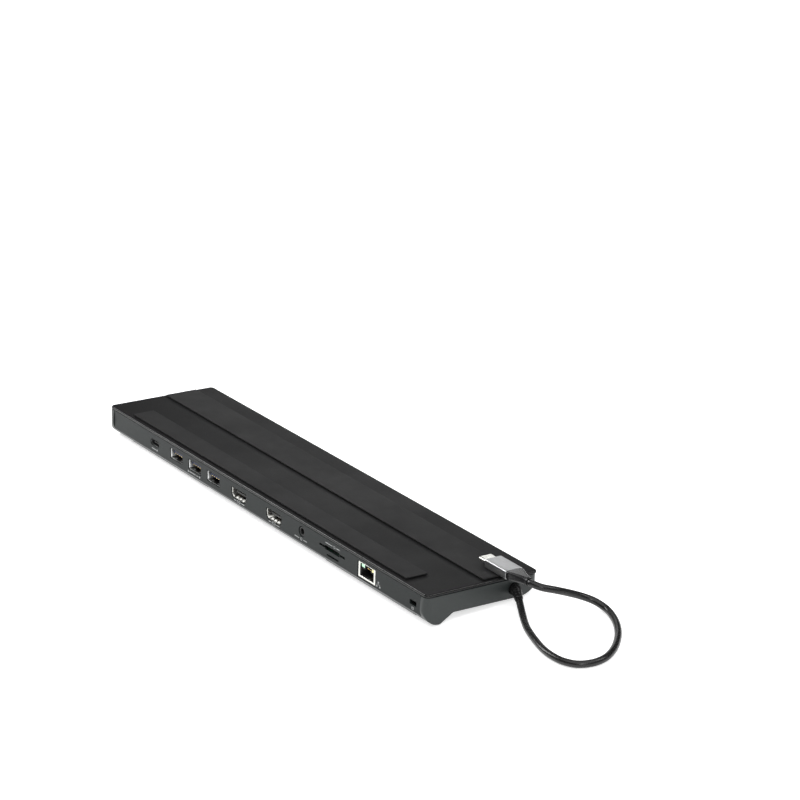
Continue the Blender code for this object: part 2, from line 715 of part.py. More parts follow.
def make_usb_a(metal, blue):
    width, height = USB_A_SIZE
    for k in range(USB_A_COUNT):
        x, z = USB_A_FIRST[0] - k * USB_A_PITCH, USB_A_FIRST[1]
        outer = rectangle(width, height, (x, z))
        inner = rectangle(width - 2 * SHEET, height - 2 * SHEET, (x, z))
        part(frame_tube(outer, inner, 13.5 * MM), f"usb_a_shell_{k + 1}", metal)
        back, wall, front = REAR - 13.6 * MM, REAR - 10.8 * MM, SOCKET_FACE - 1.2 * MM
        low, high = z - height / 2 + SHEET + GAP, z + height / 2 - SHEET - GAP
        under = high - 1.9 * MM
        profile = [(back, low), (wall, low), (wall, under), (front, under), (front, high), (back, high)]
        shelf(x, 11.2 * MM, profile, f"usb_a_tongue_{k + 1}", blue)


def make_display_sockets(metal, black):
    width, height = DISPLAY_SIZE
    for k in range(DISPLAY_COUNT):
        x, z = DISPLAY_FIRST[0] - k * DISPLAY_PITCH, DISPLAY_FIRST[1]
        outer = d_shape(width, height, (x, z))
        inner = d_shape(width, height, (x, z), grow=-SHEET)
        part(frame_tube(outer, inner, 10.6 * MM), f"display_shell_{k + 1}", metal)
        back, wall, front = REAR - 10.7 * MM, REAR - 8.6 * MM, SOCKET_FACE - 1.4 * MM
        low, high = z - height / 2 + SHEET + GAP, z + height / 2 - SHEET - GAP
        shelf_low, shelf_high = z + 0.1 * MM, z + 1.2 * MM
        profile = [
            (back, low),
            (wall, low),
            (wall, shelf_low),
            (front, shelf_low),
            (front, shelf_high),
            (wall, shelf_high),
            (wall, high),
            (back, high),
        ]
        shelf(x, 9.8 * MM, profile, f"display_tongue_{k + 1}", black)


def make_audio_jack(black):
    x, z = AUDIO_AT
    depth = 1.2 * MM
    loops = [circle(AUDIO_RING, AUDIO_AT, 24), circle(AUDIO_BORE, AUDIO_AT, 24)]
    part(smooth(slab(loops, depth, SOCKET_FACE - depth / 2, "XZ")), "audio_jack_ring", black)
    back = REAR - 12.0 * MM
    front = SOCKET_FACE - depth - GAP
    low = BOARD_TOP - 0.6 * MM
    body = block((x - 3.2 * MM, back, low), (x + 3.2 * MM, front - 0.3 * MM, z + 2.6 * MM))
    bore = rod(AUDIO_BORE, (x, back + 1.5 * MM, z), 14 * MM, axis="Y")
    boolean(body, cutter(bore))
    part(body, "audio_jack_body", black)


def card_channel(centre, width, floor, height, rail, depth, front, flip=1):
    """A card socket's base: a floor with two side rails and a back wall."""
    x = centre
    u = width / 2
    top = floor + flip * height
    deck = floor + flip * 0.4 * MM
    profile = [
        (x - u, floor),
        (x + u, floor),
        (x + u, top),
        (x + u - rail, top),
        (x + u - rail, deck),
        (x - u + rail, deck),
        (x - u + rail, top),
        (x - u, top),
    ]
    base = slab([profile], depth, front - depth / 2, "XZ")
    low_z, high_z = sorted((floor, top))
    wall_front = front - depth + 1.0 * MM
    wall = block((x - u, front - depth - 0.8 * MM, low_z), (x + u, wall_front, high_z))
    boolean(base, cutter(wall), "UNION")
    return base


def card_cover(centre, width, top, skirt, depth, front, flip=1):
    """A card socket's folded sheet cover: a top with two side skirts."""
    x = centre
    u = width / 2
    sheet = 0.25 * MM
    edge = top - flip * skirt
    inner = top - flip * sheet
    profile = [
        (x - u, edge),
        (x - u + sheet, edge),
        (x - u + sheet, inner),
        (x + u - sheet, inner),
        (x + u - sheet, edge),
        (x + u, edge),
        (x + u, top),
        (x - u, top),
    ]
    return slab([profile], depth, front - depth / 2, "XZ")


def make_ejector(name, centre, size, material):
    """A card ejector, with its origin at its own centre on the line it slides along."""
    half = Vector(size) / 2
    return part(block(Vector(centre) - half, Vector(centre) + half), name, material)


def make_spring(name, x, z, rear, front, radius, material):
    """A return spring as the plain sleeve that its wire fills when it is pressed."""
    length = rear - front
    loops = [circle(radius, (x, z), 10), circle(radius - 0.2 * MM, (x, z), 10)]
    return part(smooth(slab(loops, length, (rear + front) / 2, "XZ")), name, material)


def make_sd_socket(metal, black, spring_steel, white):
    x = SD_AT[0]
    front = CARD_SOCKET_FRONT
    depth = 27.0 * MM
    floor = BOARD_TOP + GAP
    base = card_channel(x, 28.4 * MM, floor, 2.0 * MM, 0.9 * MM, depth, front)
    part(base, "sd_socket_base", black)
    cover = card_cover(x, 29.5 * MM, floor + 2.0 * MM + GAP + 0.25 * MM, 2.3 * MM, depth, front)
    part(cover, "sd_socket_shell", metal)
    slide_y = front - depth + 6.6 * MM
    lane_x = x + 12.1 * MM
    mid_z = floor + 1.25 * MM
    make_ejector("sd_ejector", (lane_x, slide_y, mid_z), (1.7 * MM, 4.0 * MM, 0.9 * MM), white)
    wall = front - depth + 1.0 * MM
    make_spring("sd_spring", lane_x, mid_z, wall + 1.5 * MM, wall + GAP, 0.5 * MM, spring_steel)


def make_micro_sd_socket(metal, black, spring_steel, white):
    x = MICRO_SD_AT[0]
    front = CARD_SOCKET_FRONT
    depth = 12.0 * MM
    floor = BOARD_BOTTOM - GAP
    base = card_channel(x, 14.4 * MM, floor, 1.3 * MM, 0.5 * MM, depth, front, flip=-1)
    part(base, "micro_sd_socket_base", black)
    top = floor - 1.3 * MM - GAP - 0.25 * MM
    cover = card_cover(x, 15.5 * MM, top, 1.5 * MM, depth, front, flip=-1)
    part(cover, "micro_sd_socket_shell", metal)
    slide_y = front - depth + 5.2 * MM
    lane_x = x + 5.9 * MM
    mid_z = floor - 0.95 * MM
    make_ejector("micro_sd_ejector", (lane_x, slide_y, mid_z), (1.1 * MM, 2.8 * MM, 0.5 * MM), white)
    wall = front - depth + 1.0 * MM
    make_spring("micro_sd_spring", lane_x, mid_z, wall + 1.2 * MM, wall + GAP, 0.3 * MM, spring_steel)


def network_mouth():
    """The network socket's mouth, (x, z): wide below, narrower between the two lamps above."""
    x, z = NETWORK_AT
    half, notch = 5.9 * MM, 2.6 * MM
    low, shoulder, high = z - 3.0 * MM, z + 0.9 * MM, z + 3.2 * MM
    sides = [(half, low), (half, shoulder), (notch, shoulder), (notch, high)]
    return [(x + u, v) for u, v in sides] + [(x - u, v) for u, v in reversed(sides)]


def make_network_shield(metal):
    """The metal can round the network socket, with its face frame."""
    x, z = NETWORK_AT
    width, height = NETWORK_SIZE
    outer = rectangle(width, height, (x, z))
    window = rectangle(12.9 * MM, 7.0 * MM, (x, z + 0.35 * MM))
    flange = slab([outer, window], 0.4 * MM, SOCKET_FACE - 0.2 * MM, "XZ")
    depth = 14.4 * MM
    inner = rectangle(width - 2 * NETWORK_WALL, height - 2 * NETWORK_WALL, (x, z))
    can = slab([outer, inner], depth, SOCKET_FACE - 0.2 * MM - depth / 2, "XZ")
    boolean(flange, cutter(can), "UNION")
    part(flange, "network_shield", metal)


def make_lamp(name, side, glow):
    """One of the two lamps above the network socket's mouth; returns the room it needs as a cutter shape."""
    x, z = NETWORK_AT
    low_z, high_z = z + 1.5 * MM, z + 3.3 * MM
    low_x, high_x = sorted((x + side * 3.3 * MM, x + side * 6.2 * MM))
    back = NETWORK_FRONT - 3.0 * MM
    part(block((low_x, back, low_z), (high_x, NETWORK_FRONT - 0.1 * MM, high_z)), name, glow)
    room_low = (low_x - GAP, back - GAP, low_z - GAP)
    return block(room_low, (high_x + GAP, NETWORK_FRONT + MM, z + NETWORK_SIZE[1]))


def make_network_insert(black, green, amber):
    """The network socket's plastic body, with its mouth and the rooms for its two lamps."""
    x, z = NETWORK_AT
    front = NETWORK_FRONT
    half_width = NETWORK_SIZE[0] / 2 - NETWORK_WALL - GAP
    half_height = NETWORK_SIZE[1] / 2 - NETWORK_WALL - GAP
    face = rectangle(2 * half_width, 2 * half_height, (x, z))
    body = slab([face, network_mouth()], 11.6 * MM, front - 5.8 * MM, "XZ")
    low = (x - half_width, front - 13.8 * MM, z - half_height)
    back = block(low, (x + half_width, front - 11.4 * MM, z + half_height))
    boolean(body, cutter(back), "UNION")
    for side, label, glow in ((1, "link_lamp", green), (-1, "activity_lamp", amber)):
        boolean(body, cutter(make_lamp(label, side, glow)))
    part(body, "network_insert", black)


def make_network_contacts(gold):
    """Eight wires side by side on one comb."""
    x, z = NETWORK_AT
    wire_front, wire_back = NETWORK_FRONT - 3.6 * MM, NETWORK_FRONT - 11.1 * MM
    wire_low, wire_high = z + 1.5 * MM, z + 1.85 * MM
    comb_high = (x + 2.3 * MM, wire_back + 1.2 * MM, wire_high + 0.6 * MM)
    comb = block((x - 2.3 * MM, wire_back, wire_low), comb_high)
    wires = []
    for k in range(8):
        wire_x = x + (k - 3.5) * 0.6 * MM
        low = (wire_x - 0.16 * MM, wire_front, wire_low + 0.02 * MM)
        wires.append(block(low, (wire_x + 0.16 * MM, wire_back + 0.2 * MM, wire_high)))
    boolean(comb, cutter(joined(wires)), "UNION")
    part(comb, "network_contacts", gold)


def make_lock_bracket(metal):
    x, z = LOCK_AT
    outer = rounded(11.0 * MM, 8.0 * MM, 0.8 * MM, (x, z + 0.6 * MM), 2)
    slot = rounded(*LOCK_SLOT, 0.5 * MM, LOCK_AT, 2)
    plate = slab([outer, slot], 1.2 * MM, PANEL_BACK - GAP - 0.6 * MM, "XZ")
    part(plate, "lock_bracket", metal)


# ---------------------------------------------------------------- host cable and plug


def body_to_world(point):
    """Where a point of the tilted body frame is in the world."""
    x, y, z = point
    return Vector(
        (
            x,
            y * math.cos(TILT) - z * math.sin(TILT) + FRAME_Y,
            y * math.sin(TILT) + z * math.cos(TILT) + FRAME_Z,
        )
    )


def relief_path():
    """The strain relief's centreline in the world: straight out of the wall, then bent with the cable."""
    inside = body_to_world((-HALF_LENGTH + 3.6 * MM, CABLE_Y, CABLE_Z))
    wall = body_to_world((-HALF_LENGTH, CABLE_Y, CABLE_Z))
    lead = wall + Vector((-2.6, 0.5, -0.2)) * MM
    tip = Vector(CABLE_ROUTE[0]) * MM
    return inside, wall, lead, wall.lerp(tip, 0.62) + Vector((0.1, -0.35, 0.15)) * MM, tip


def make_strain_relief(material):
    radii = [RELIEF_RADIUS, RELIEF_RADIUS, RELIEF_RADIUS, RELIEF_BEND_RADIUS, RELIEF_TIP_RADIUS]
    shape = smooth(solid_from_curve(tube(relief_path(), radii)))
    shape.name = "cable_strain_relief"
    shape.data.materials.append(material)
    place(shape, DOCK, None)
    seat = (-HALF_LENGTH + END_WALL + GAP, CABLE_Y, CABLE_Z)
    flange = rod(RELIEF_FLANGE_RADIUS, seat, RELIEF_FLANGE_THICKNESS, axis="X")
    boolean(shape, cutter(flange), "UNION")
    return shape


def collar_face():
    """Centre of the plug collar's outer face, in the world."""
    end = (PLUG_END_X - BOOT_LENGTH - COLLAR_LENGTH, PLUG_Y, PLUG_Z)
    return body_to_world(end)


def make_host_cable(material):
    start = Vector(CABLE_ROUTE[0]) * MM
    away = (Vector(CABLE_ROUTE[1]) * MM - start).normalized()
    end = collar_face()
    knots = [start + away * GAP]
    knots += [Vector(point) * MM for point in CABLE_ROUTE[1:]]
    for back in ((-7.0, -3.0, -1.3), (-2.9, -0.25, -0.1), (-0.4, 0.0, 0.0)):
        knots.append(end + Vector(back) * MM)
    path = smooth_path(knots, 4.0 * MM)
    cable = tube(path, [CABLE_RADIUS] * len(path), resolution=3)
    cable.name = "host_cable"
    cable.data.materials.append(material)
    return place(cable, DOCK, None)


def ring_yz(x, outline):
    return [(x, y, z) for y, z in outline]


def make_plug_sleeve(silver):
    length, width, height = PLUG_SIZE
    outer = rounded(width, height, PLUG_CORNER, PLUG_AT, 3)
    inner = rounded(width - 2 * PLUG_WALL, height - 2 * PLUG_WALL, PLUG_CORNER - 0.4 * MM, PLUG_AT, 3)
    sleeve = slab([outer, inner], length, PLUG_END_X + length / 2, "YZ")
    part(smooth(sleeve), "plug_sleeve", silver)


def make_plug_boot(black):
    """The moulded boot: it fills the sleeve and tapers outside it to the round collar."""
    length, width, height = PLUG_SIZE
    slack = PLUG_WALL + GAP
    core = rounded(width - 2 * slack, height - 2 * slack, 0.3 * MM, PLUG_AT, 3)
    root = rounded(width - 0.3 * MM, height - 0.2 * MM, 1.0 * MM, PLUG_AT, 3)
    near_collar = rounded(4.9 * MM, 4.5 * MM, 2.0 * MM, PLUG_AT, 3)
    ring = rounded(2 * COLLAR_RADIUS, 2 * COLLAR_RADIUS, COLLAR_RADIUS - 0.01 * MM, PLUG_AT, 3)
    collar_x = PLUG_END_X - BOOT_LENGTH
    rings = [
        ring_yz(PLUG_END_X + length - 0.1 * MM, core),
        ring_yz(PLUG_END_X - GAP, core),
        ring_yz(PLUG_END_X - GAP - 0.01 * MM, root),
        ring_yz(PLUG_END_X - 1.6 * MM, root),
        ring_yz(collar_x, near_collar),
        ring_yz(collar_x - 0.01 * MM, ring),
        ring_yz(collar_x - COLLAR_LENGTH, ring),
    ]
    part(smooth(loft(rings)), "plug_boot", black)


def make_plug_tip(metal, dark):
    """The metal shell that goes into a socket, and the insulator inside it."""
    start = PLUG_END_X + PLUG_SIZE[0] + GAP - 0.1 * MM
    length = 6.6 * MM
    outer = rounded(8.25 * MM, 2.4 * MM, 1.19 * MM, PLUG_AT)
    inner = rounded(7.65 * MM, 1.8 * MM, 0.89 * MM, PLUG_AT)
    part(smooth(slab([outer, inner], length, start + length / 2, "YZ")), "plug_shell", metal)
    core = rounded(6.9 * MM, 1.16 * MM, 0.3 * MM, PLUG_AT, 2)
    part(slab([core], length - MM, start + length / 2 - 0.4 * MM, "YZ"), "plug_insulator", dark)


def make_internal_lead(black, white):
    header_low = (-143.0 * MM, -7.6 * MM, BOARD_TOP + GAP)
    header_high = (-138.4 * MM, 1.4 * MM, BOARD_TOP + 3.4 * MM)
    part(block(header_low, header_high), "cable_header", white)
    knots = [
        (-160.8, CABLE_Y / MM, CABLE_Z / MM),
        (-157.5, CABLE_Y / MM + 0.6, CABLE_Z / MM),
        (-153.2, -15.4, 10.6),
        (-150.6, -9.6, 10.9),
        (-147.4, -4.4, 11.0),
        (-143.5, -3.1, 11.0),
    ]
    path = smooth_path([Vector(knot) * MM for knot in knots], 3.6 * MM)
    lead = tube(path, [1.5 * MM] * len(path))
    lead.name = "internal_lead"
    lead.data.materials.append(black)
    return place(lead, DOCK, BODY)


# ---------------------------------------------------------------- the dock


def build():
    cover = new_material("matte_black_cover", (0.022, 0.022, 0.023), 0.55)
    case = new_material("dark_grey_case", (0.055, 0.062, 0.061), 0.42)
    panel = new_material("dark_grey_panel", (0.075, 0.088, 0.086), 0.40)
    rubber = new_material("grey_rubber", (0.060, 0.060, 0.061), 0.80)
    foot = new_material("foot_rubber", (0.02, 0.02, 0.02), 0.85)
    steel = new_material("plated_steel", (0.62, 0.61, 0.58), 0.28, 1.0)
    dark_plastic = new_material("black_plastic", (0.015, 0.015, 0.015), 0.45)
    blue = new_material("blue_plastic", (0.02, 0.10, 0.45), 0.45)
    board = new_material("board_green", (0.01, 0.08, 0.03), 0.45)
    aluminium = new_material("aluminium", (0.70, 0.70, 0.71), 0.35, 1.0)
    thermal = new_material("thermal_pad", (0.35, 0.38, 0.45), 0.8)
    gold = new_material("gold_contacts", (0.85, 0.62, 0.25), 0.25, 1.0)
    green = new_material("green_lamp", (0.10, 0.75, 0.25), 0.3)
    amber = new_material("amber_lamp", (0.85, 0.50, 0.08), 0.3)
    white = new_material("white_plastic", (0.75, 0.75, 0.72), 0.5)
    cable = new_material("cable_jacket", (0.016, 0.016, 0.016), 0.38)
    silver = new_material("silver_sleeve", (0.62, 0.62, 0.62), 0.30, 0.9)

    make_top_cover(cover)
    make_lower_case(case)
    make_rear_panel(panel)
    make_strip("rear_grip_strip", REAR_STRIP, rubber)
    make_strip("front_grip_strip", FRONT_STRIP, rubber)
    make_pads(foot)
    make_case_screws(steel)
    make_board_screws(steel)
    make_main_board(board)
    make_chips(dark_plastic, thermal, aluminium)
    make_usb_c(steel, dark_plastic)
    make_usb_a(steel, blue)
    make_display_sockets(steel, dark_plastic)
    make_audio_jack(dark_plastic)
    make_sd_socket(steel, dark_plastic, steel, white)
    make_micro_sd_socket(steel, dark_plastic, steel, white)
    make_network_shield(steel)
    make_network_insert(dark_plastic, green, amber)
    make_network_contacts(gold)
    make_lock_bracket(steel)
    make_internal_lead(cable, white)
    make_strain_relief(cable)
    make_host_cable(cable)
    make_plug_sleeve(silver)
    make_plug_boot(cable)
    make_plug_tip(steel, dark_plastic)


clear_scene()
DOCK = new_collection("docking_station")
CUTTERS = new_collection("cutters")
BODY = bpy.data.objects.new("body_frame", None)
DOCK.objects.link(BODY)
BODY.rotation_euler = (TILT, 0.0, 0.0)
BODY.location = (0.0, FRAME_Y, FRAME_Z)
build()
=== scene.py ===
"""Looks of the laptop docking station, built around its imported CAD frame.

Every piece is drawn in the dock's own level frame (X along the bar, +Y the socket side, Z = 0 at the lowest
line of the rear ridge) and then baked into the row frame, where the whole body is tilted by a few degrees.
"""

import json
import math

import bmesh
import bpy
from mathutils import Matrix, Vector


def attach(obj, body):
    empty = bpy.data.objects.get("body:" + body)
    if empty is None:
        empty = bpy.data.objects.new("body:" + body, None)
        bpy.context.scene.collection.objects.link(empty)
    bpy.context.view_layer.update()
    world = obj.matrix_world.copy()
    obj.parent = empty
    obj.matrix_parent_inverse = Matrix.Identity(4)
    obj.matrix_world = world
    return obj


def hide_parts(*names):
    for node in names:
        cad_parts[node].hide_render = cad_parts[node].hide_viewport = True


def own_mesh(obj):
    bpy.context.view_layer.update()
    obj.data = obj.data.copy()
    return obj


MM = 0.001

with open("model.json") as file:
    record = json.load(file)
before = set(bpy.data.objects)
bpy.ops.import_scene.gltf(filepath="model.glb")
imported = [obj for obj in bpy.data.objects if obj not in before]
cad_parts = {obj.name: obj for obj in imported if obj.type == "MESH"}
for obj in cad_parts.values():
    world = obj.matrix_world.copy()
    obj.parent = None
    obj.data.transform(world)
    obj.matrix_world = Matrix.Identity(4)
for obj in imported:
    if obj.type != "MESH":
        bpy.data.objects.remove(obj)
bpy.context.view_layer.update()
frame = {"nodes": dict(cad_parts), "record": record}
NODES = frame["nodes"]
RECORD = frame["record"]


# ---------------------------------------------------------------- frames and measures


def level_points(node, turn):
    return [turn @ vertex.co for vertex in NODES[node].data.vertices]


def find_body_matrix():
    """The matrix that takes the dock's level frame to the row frame."""
    axis = next(Vector(mount["axis"]) for mount in RECORD["mounts"] if mount["name"] == "laptop_rest_rear")
    tilt = math.atan2(-axis.y, axis.z)
    turn = Matrix.Rotation(tilt, 4, "X")
    cover_y = [point.y for point in level_points("top_cover", turn.inverted())]
    case_z = [point.z for point in level_points("lower_case", turn.inverted())]
    return turn @ Matrix.Translation((0.0, (min(cover_y) + max(cover_y)) / 2, min(case_z)))


BODY = find_body_matrix()
TO_LEVEL = BODY.inverted()


def span(node):
    """Lowest and highest corner of a CAD node in the level frame, in millimetres."""
    points = [point / MM for point in level_points(node, TO_LEVEL)]
    low = Vector([min(point[k] for point in points) for k in range(3)])
    high = Vector([max(point[k] for point in points) for k in range(3)])
    return low, high


def middle(node):
    low, high = span(node)
    return (low + high) / 2


def to_row(point):
    """A point of the level frame, in millimetres, as metres in the row frame."""
    return BODY @ (Vector(point) * MM)


# ---------------------------------------------------------------- camera


def make_camera():
    data = bpy.data.cameras.new("camera")
    data.sensor_width = 36.0
    data.lens = 139.33
    data.clip_start = 0.05
    data.clip_end = 20.0
    camera = bpy.data.objects.new("camera", data)
    bpy.context.scene.collection.objects.link(camera)
    back = Vector((-0.78178, 0.49942, 0.37338)).normalized()
    right = Vector((-0.55288, -0.83206, -0.04467))
    right = (right - back * right.dot(back)).normalized()
    up = back.cross(right)
    turn = Matrix((right, up, back)).transposed().to_4x4()
    camera.matrix_world = Matrix.Translation(Vector((-1339.507, 794.398, 687.975)) * MM) @ turn
    bpy.context.scene.camera = camera


make_camera()


# ---------------------------------------------------------------- the host cable's line


CABLE_RADIUS = 1.9
CABLE_GAP = 0.3
CABLE_EXIT = (-19.5, 10.3)
CABLE_ROUTE = [
    (-173.8, -16.1, 4.8),
    (-181.0, -12.3, 3.1),
    (-189.0, -8.0, 2.1),
    (-197.0, -4.0, 1.95),
    (-205.0, -0.9, 1.95),
    (-213.5, 1.8, 1.95),
    (-222.0, 4.0, 1.95),
    (-230.5, 4.9, 1.95),
    (-238.8, 4.1, 1.95),
    (-245.6, 0.6, 1.95),
    (-249.1, -6.0, 1.95),
    (-248.8, -13.6, 1.95),
    (-245.2, -20.9, 1.95),
    (-239.6, -27.8, 1.95),
    (-232.2, -34.6, 1.95),
    (-224.0, -40.2, 1.95),
    (-215.0, -44.6, 1.95),
    (-206.2, -47.0, 2.4),
    (-198.9, -45.2, 4.5),
    (-194.8, -39.9, 7.4),
    (-193.4, -33.2, 10.7),
    (-192.7, -26.4, 13.9),
]
PLUG_APPROACH = [(-7.0, -3.0, -1.3), (-2.9, -0.25, -0.1), (-0.4, 0.0, 0.0)]


def collar_face():
    """Centre of the plug collar's outer face, in row-frame millimetres."""
    low = span("plug_boot")[0]
    centre = middle("plug_sleeve")
    return to_row((low.x, centre.y, centre.z)) / MM


def cable_knots():
    start, following = Vector(CABLE_ROUTE[0]), Vector(CABLE_ROUTE[1])
    knots = [start + (following - start).normalized() * CABLE_GAP]
    knots += [Vector(point) for point in CABLE_ROUTE[1:]]
    knots += [collar_face() + Vector(step) for step in PLUG_APPROACH]
    return [knot * MM for knot in knots]


def through(knots, steps):
    """Points on one smooth curve through the knots."""
    ends = [2 * knots[0] - knots[1], *knots, 2 * knots[-1] - knots[-2]]
    path = []
    for a, b, c, d in zip(ends, ends[1:], ends[2:], ends[3:]):
        for step in range(steps):
            t = step / steps
            bend = 2 * b + (c - a) * t + (2 * a - 5 * b + 4 * c - d) * t * t
            path.append((bend + (3 * b - a - 3 * c + d) * t * t * t) / 2)
    path.append(knots[-1])
    return path


# ---------------------------------------------------------------- outlines


def arc(centre, radius_u, radius_v, start, end, count):
    points = []
    for step in range(count + 1):
        angle = math.radians(start + (end - start) * step / count)
        points.append((centre[0] + radius_u * math.cos(angle), centre[1] + radius_v * math.sin(angle)))
    return points


def rounded(width, height, radius, centre=(0.0, 0.0), count=8):
    points = []
    for turn, (side_u, side_v) in enumerate(((1, 1), (-1, 1), (-1, -1), (1, -1))):
        corner = (centre[0] + side_u * (width / 2 - radius), centre[1] + side_v * (height / 2 - radius))
        points += arc(corner, radius, radius, 90 * turn, 90 * turn + 90, count)
    return points


def row_of(centre, count, pitch):
    """Evenly spaced places about a centre."""
    return [centre + (k - (count - 1) / 2) * pitch for k in range(count)]


def circle(radius, centre=(0.0, 0.0), count=48):
    return arc(centre, radius, radius, 0, 360 - 360 / count, count - 1)


def soften(points, radius, count=4):
    """A polygon with each corner rounded."""
    result = []
    total = len(points)
    for k in range(total):
        here = Vector(points[k])
        before = Vector(points[k - 1]) - here
        after = Vector(points[(k + 1) % total]) - here
        reach = min(radius, before.length * 0.45, after.length * 0.45)
        start = here + before.normalized() * reach
        end = here + after.normalized() * reach
        for step in range(count + 1):
            t = step / count
            result.append(tuple(start * (1 - t) ** 2 + here * 2 * t * (1 - t) + end * t * t))
    return result


def d_shape(width, height, centre, grow=0.0, radius=0.5):
    u, v = width / 2 + grow, height / 2 + grow
    foot = u - 2.0
    shoulder = -v + 1.7
    corners = [(u, v), (-u, v), (-u, shoulder), (-foot, -v), (foot, -v), (u, shoulder)]
    return soften([(centre[0] + a, centre[1] + b) for a, b in corners], radius)


# ---------------------------------------------------------------- meshes


def scaled_mesh(shape):
    """A bmesh drawn in level-frame millimetres, as a mesh in metres."""
    bmesh.ops.recalc_face_normals(shape, faces=shape.faces)
    mesh = bpy.data.meshes.new("shape")
    shape.to_mesh(mesh)
    shape.free()
    mesh.transform(Matrix.Scale(MM, 4))
    return mesh


def loft(rings, closed=False):
    """A closed solid through rings that have the same number of points."""
    shape = bmesh.new()
    rows = [[shape.verts.new(point) for point in ring] for ring in rings]
    pairs = list(zip(rows, rows[1:]))
    if closed:
        pairs.append((rows[-1], rows[0]))
    count = len(rows[0])
    for here, there in pairs:
        for k in range(count):
            n = (k + 1) % count
            shape.faces.new((here[k], here[n], there[n], there[k]))
    if not closed:
        shape.faces.new(rows[0])
        shape.faces.new(list(reversed(rows[-1])))
    bmesh.ops.remove_doubles(shape, verts=shape.verts, dist=0.0005)
    return scaled_mesh(shape)


TURNS = {
    "XY": Matrix.Identity(4),
    "XZ": Matrix.Rotation(math.radians(90), 4, "X"),
    "YZ": Matrix.Rotation(math.radians(90), 4, "Z") @ Matrix.Rotation(math.radians(90), 4, "X"),
}


def slab(loops, low, high, plane, edge=0.0, segments=3):
    """Outlines with holes made solid from low to high across their plane, with their rims rounded by edge."""
    curve = bpy.data.curves.new("outline", "CURVE")
    curve.dimensions = "2D"
    curve.fill_mode = "BOTH"
    curve.extrude = (high - low) / 2 - edge
    if edge:
        curve.bevel_depth = edge
        curve.bevel_resolution = segments - 1
        curve.offset = -edge
    for loop in loops:
        spline = curve.splines.new("POLY")
        spline.points.add(len(loop) - 1)
        for point, (u, v) in zip(spline.points, loop):
            point.co = (u, v, 0.0, 1.0)
        spline.use_cyclic_u = True
    drawn = bpy.data.objects.new("outline", curve)
    bpy.context.scene.collection.objects.link(drawn)
    bpy.context.view_layer.update()
    mesh = bpy.data.meshes.new_from_object(drawn.evaluated_get(bpy.context.evaluated_depsgraph_get()))
    bpy.data.objects.remove(drawn, do_unlink=True)
    centre = (low + high) / 2
    shift = {"XY": (0, 0, centre), "XZ": (0, centre, 0), "YZ": (centre, 0, 0)}[plane]
    mesh.transform(Matrix.Translation(shift) @ TURNS[plane])
    shape = bmesh.new()
    shape.from_mesh(mesh)
    bpy.data.meshes.remove(mesh)
    bmesh.ops.remove_doubles(shape, verts=shape.verts, dist=0.001)
    bmesh.ops.dissolve_limit(shape, angle_limit=0.002, verts=shape.verts, edges=shape.edges)
    return scaled_mesh(shape)


def lathe(profile, centre, axis="Z", count=48):
    """A solid of revolution: profile in (radius, distance along axis) from one end to the other."""
    rings = []
    for radius, along in profile:
        ring = []
        for u, v in circle(max(radius, 0.002), count=count):
            offset = {"X": (along, u, v), "Z": (u, v, along)}[axis]
            ring.append(Vector(centre) + Vector(offset))
        rings.append(ring)
    return loft(rings)


def block(low, high, edge=0.0, segments=3):
    """A box between two corners, its edges rounded."""
    width, depth = high[0] - low[0], high[1] - low[1]
    centre = ((low[0] + high[0]) / 2, (low[1] + high[1]) / 2)
    if not edge:
        outline = [(low[0], low[1]), (high[0], low[1]), (high[0], high[1]), (low[0], high[1])]
        return loft([[(u, v, z) for u, v in outline] for z in (low[2], high[2])])
    bends = [math.radians(90 * step / segments) for step in range(segments + 1)]
    levels = [(bend, low[2] + edge * (1 - math.sin(bend))) for bend in reversed(bends)]
    levels += [(bend, high[2] - edge * (1 - math.sin(bend))) for bend in bends]
    rings = []
    for bend, z in levels:
        inset = edge * (1 - math.cos(bend))
        radius = max(edge - inset, edge * 0.12)
        outline = rounded(width - 2 * inset, depth - 2 * inset, radius, centre, segments)
        rings.append([(u, v, z) for u, v in outline])
    return loft(rings)


def sweep(path, radii, count):
    """A round solid along a path, with a radius at each point."""
    rings = []
    side = None
    total = len(path)
    for k, (point, radius) in enumerate(zip(path, radii)):
        ahead = Vector(path[min(k + 1, total - 1)]) - Vector(path[max(k - 1, 0)])
        ahead.normalize()
        if side is None:
            side = ahead.orthogonal().normalized()
        side = (side - ahead * side.dot(ahead)).normalized()
        lift = ahead.cross(side)
        ring = []
        for u, v in circle(radius, count=count):
            ring.append(Vector(point) + side * u + lift * v)
        rings.append(ring)
    return loft(rings)


def joined(meshes):
    """Several meshes as one."""
    shape = bmesh.new()
    for mesh in meshes:
        shape.from_mesh(mesh)
        bpy.data.meshes.remove(mesh)
    result = bpy.data.meshes.new("joined")
    shape.to_mesh(result)
    shape.free()
    return result


def applied(mesh, build):
    """A mesh after the modifiers that build adds to it."""
    holder = bpy.data.objects.new("holder", mesh)
    bpy.context.scene.collection.objects.link(holder)
    extra = build(holder) or []
    bpy.context.view_layer.update()
    result = bpy.data.meshes.new_from_object(holder.evaluated_get(bpy.context.evaluated_depsgraph_get()))
    for obj in [holder, *extra]:
        data = obj.data
        bpy.data.objects.remove(obj, do_unlink=True)
        bpy.data.meshes.remove(data)
    return result


def cut(mesh, tool, operation="DIFFERENCE"):
    def build(holder):
        other = bpy.data.objects.new("tool", tool)
        bpy.context.scene.collection.objects.link(other)
        modifier = holder.modifiers.new("cut", "BOOLEAN")
        modifier.object = other
        modifier.operation = operation
        modifier.solver = "EXACT"
        return [other]

    return applied(mesh, build)


EDGE_ANGLE = 40.0


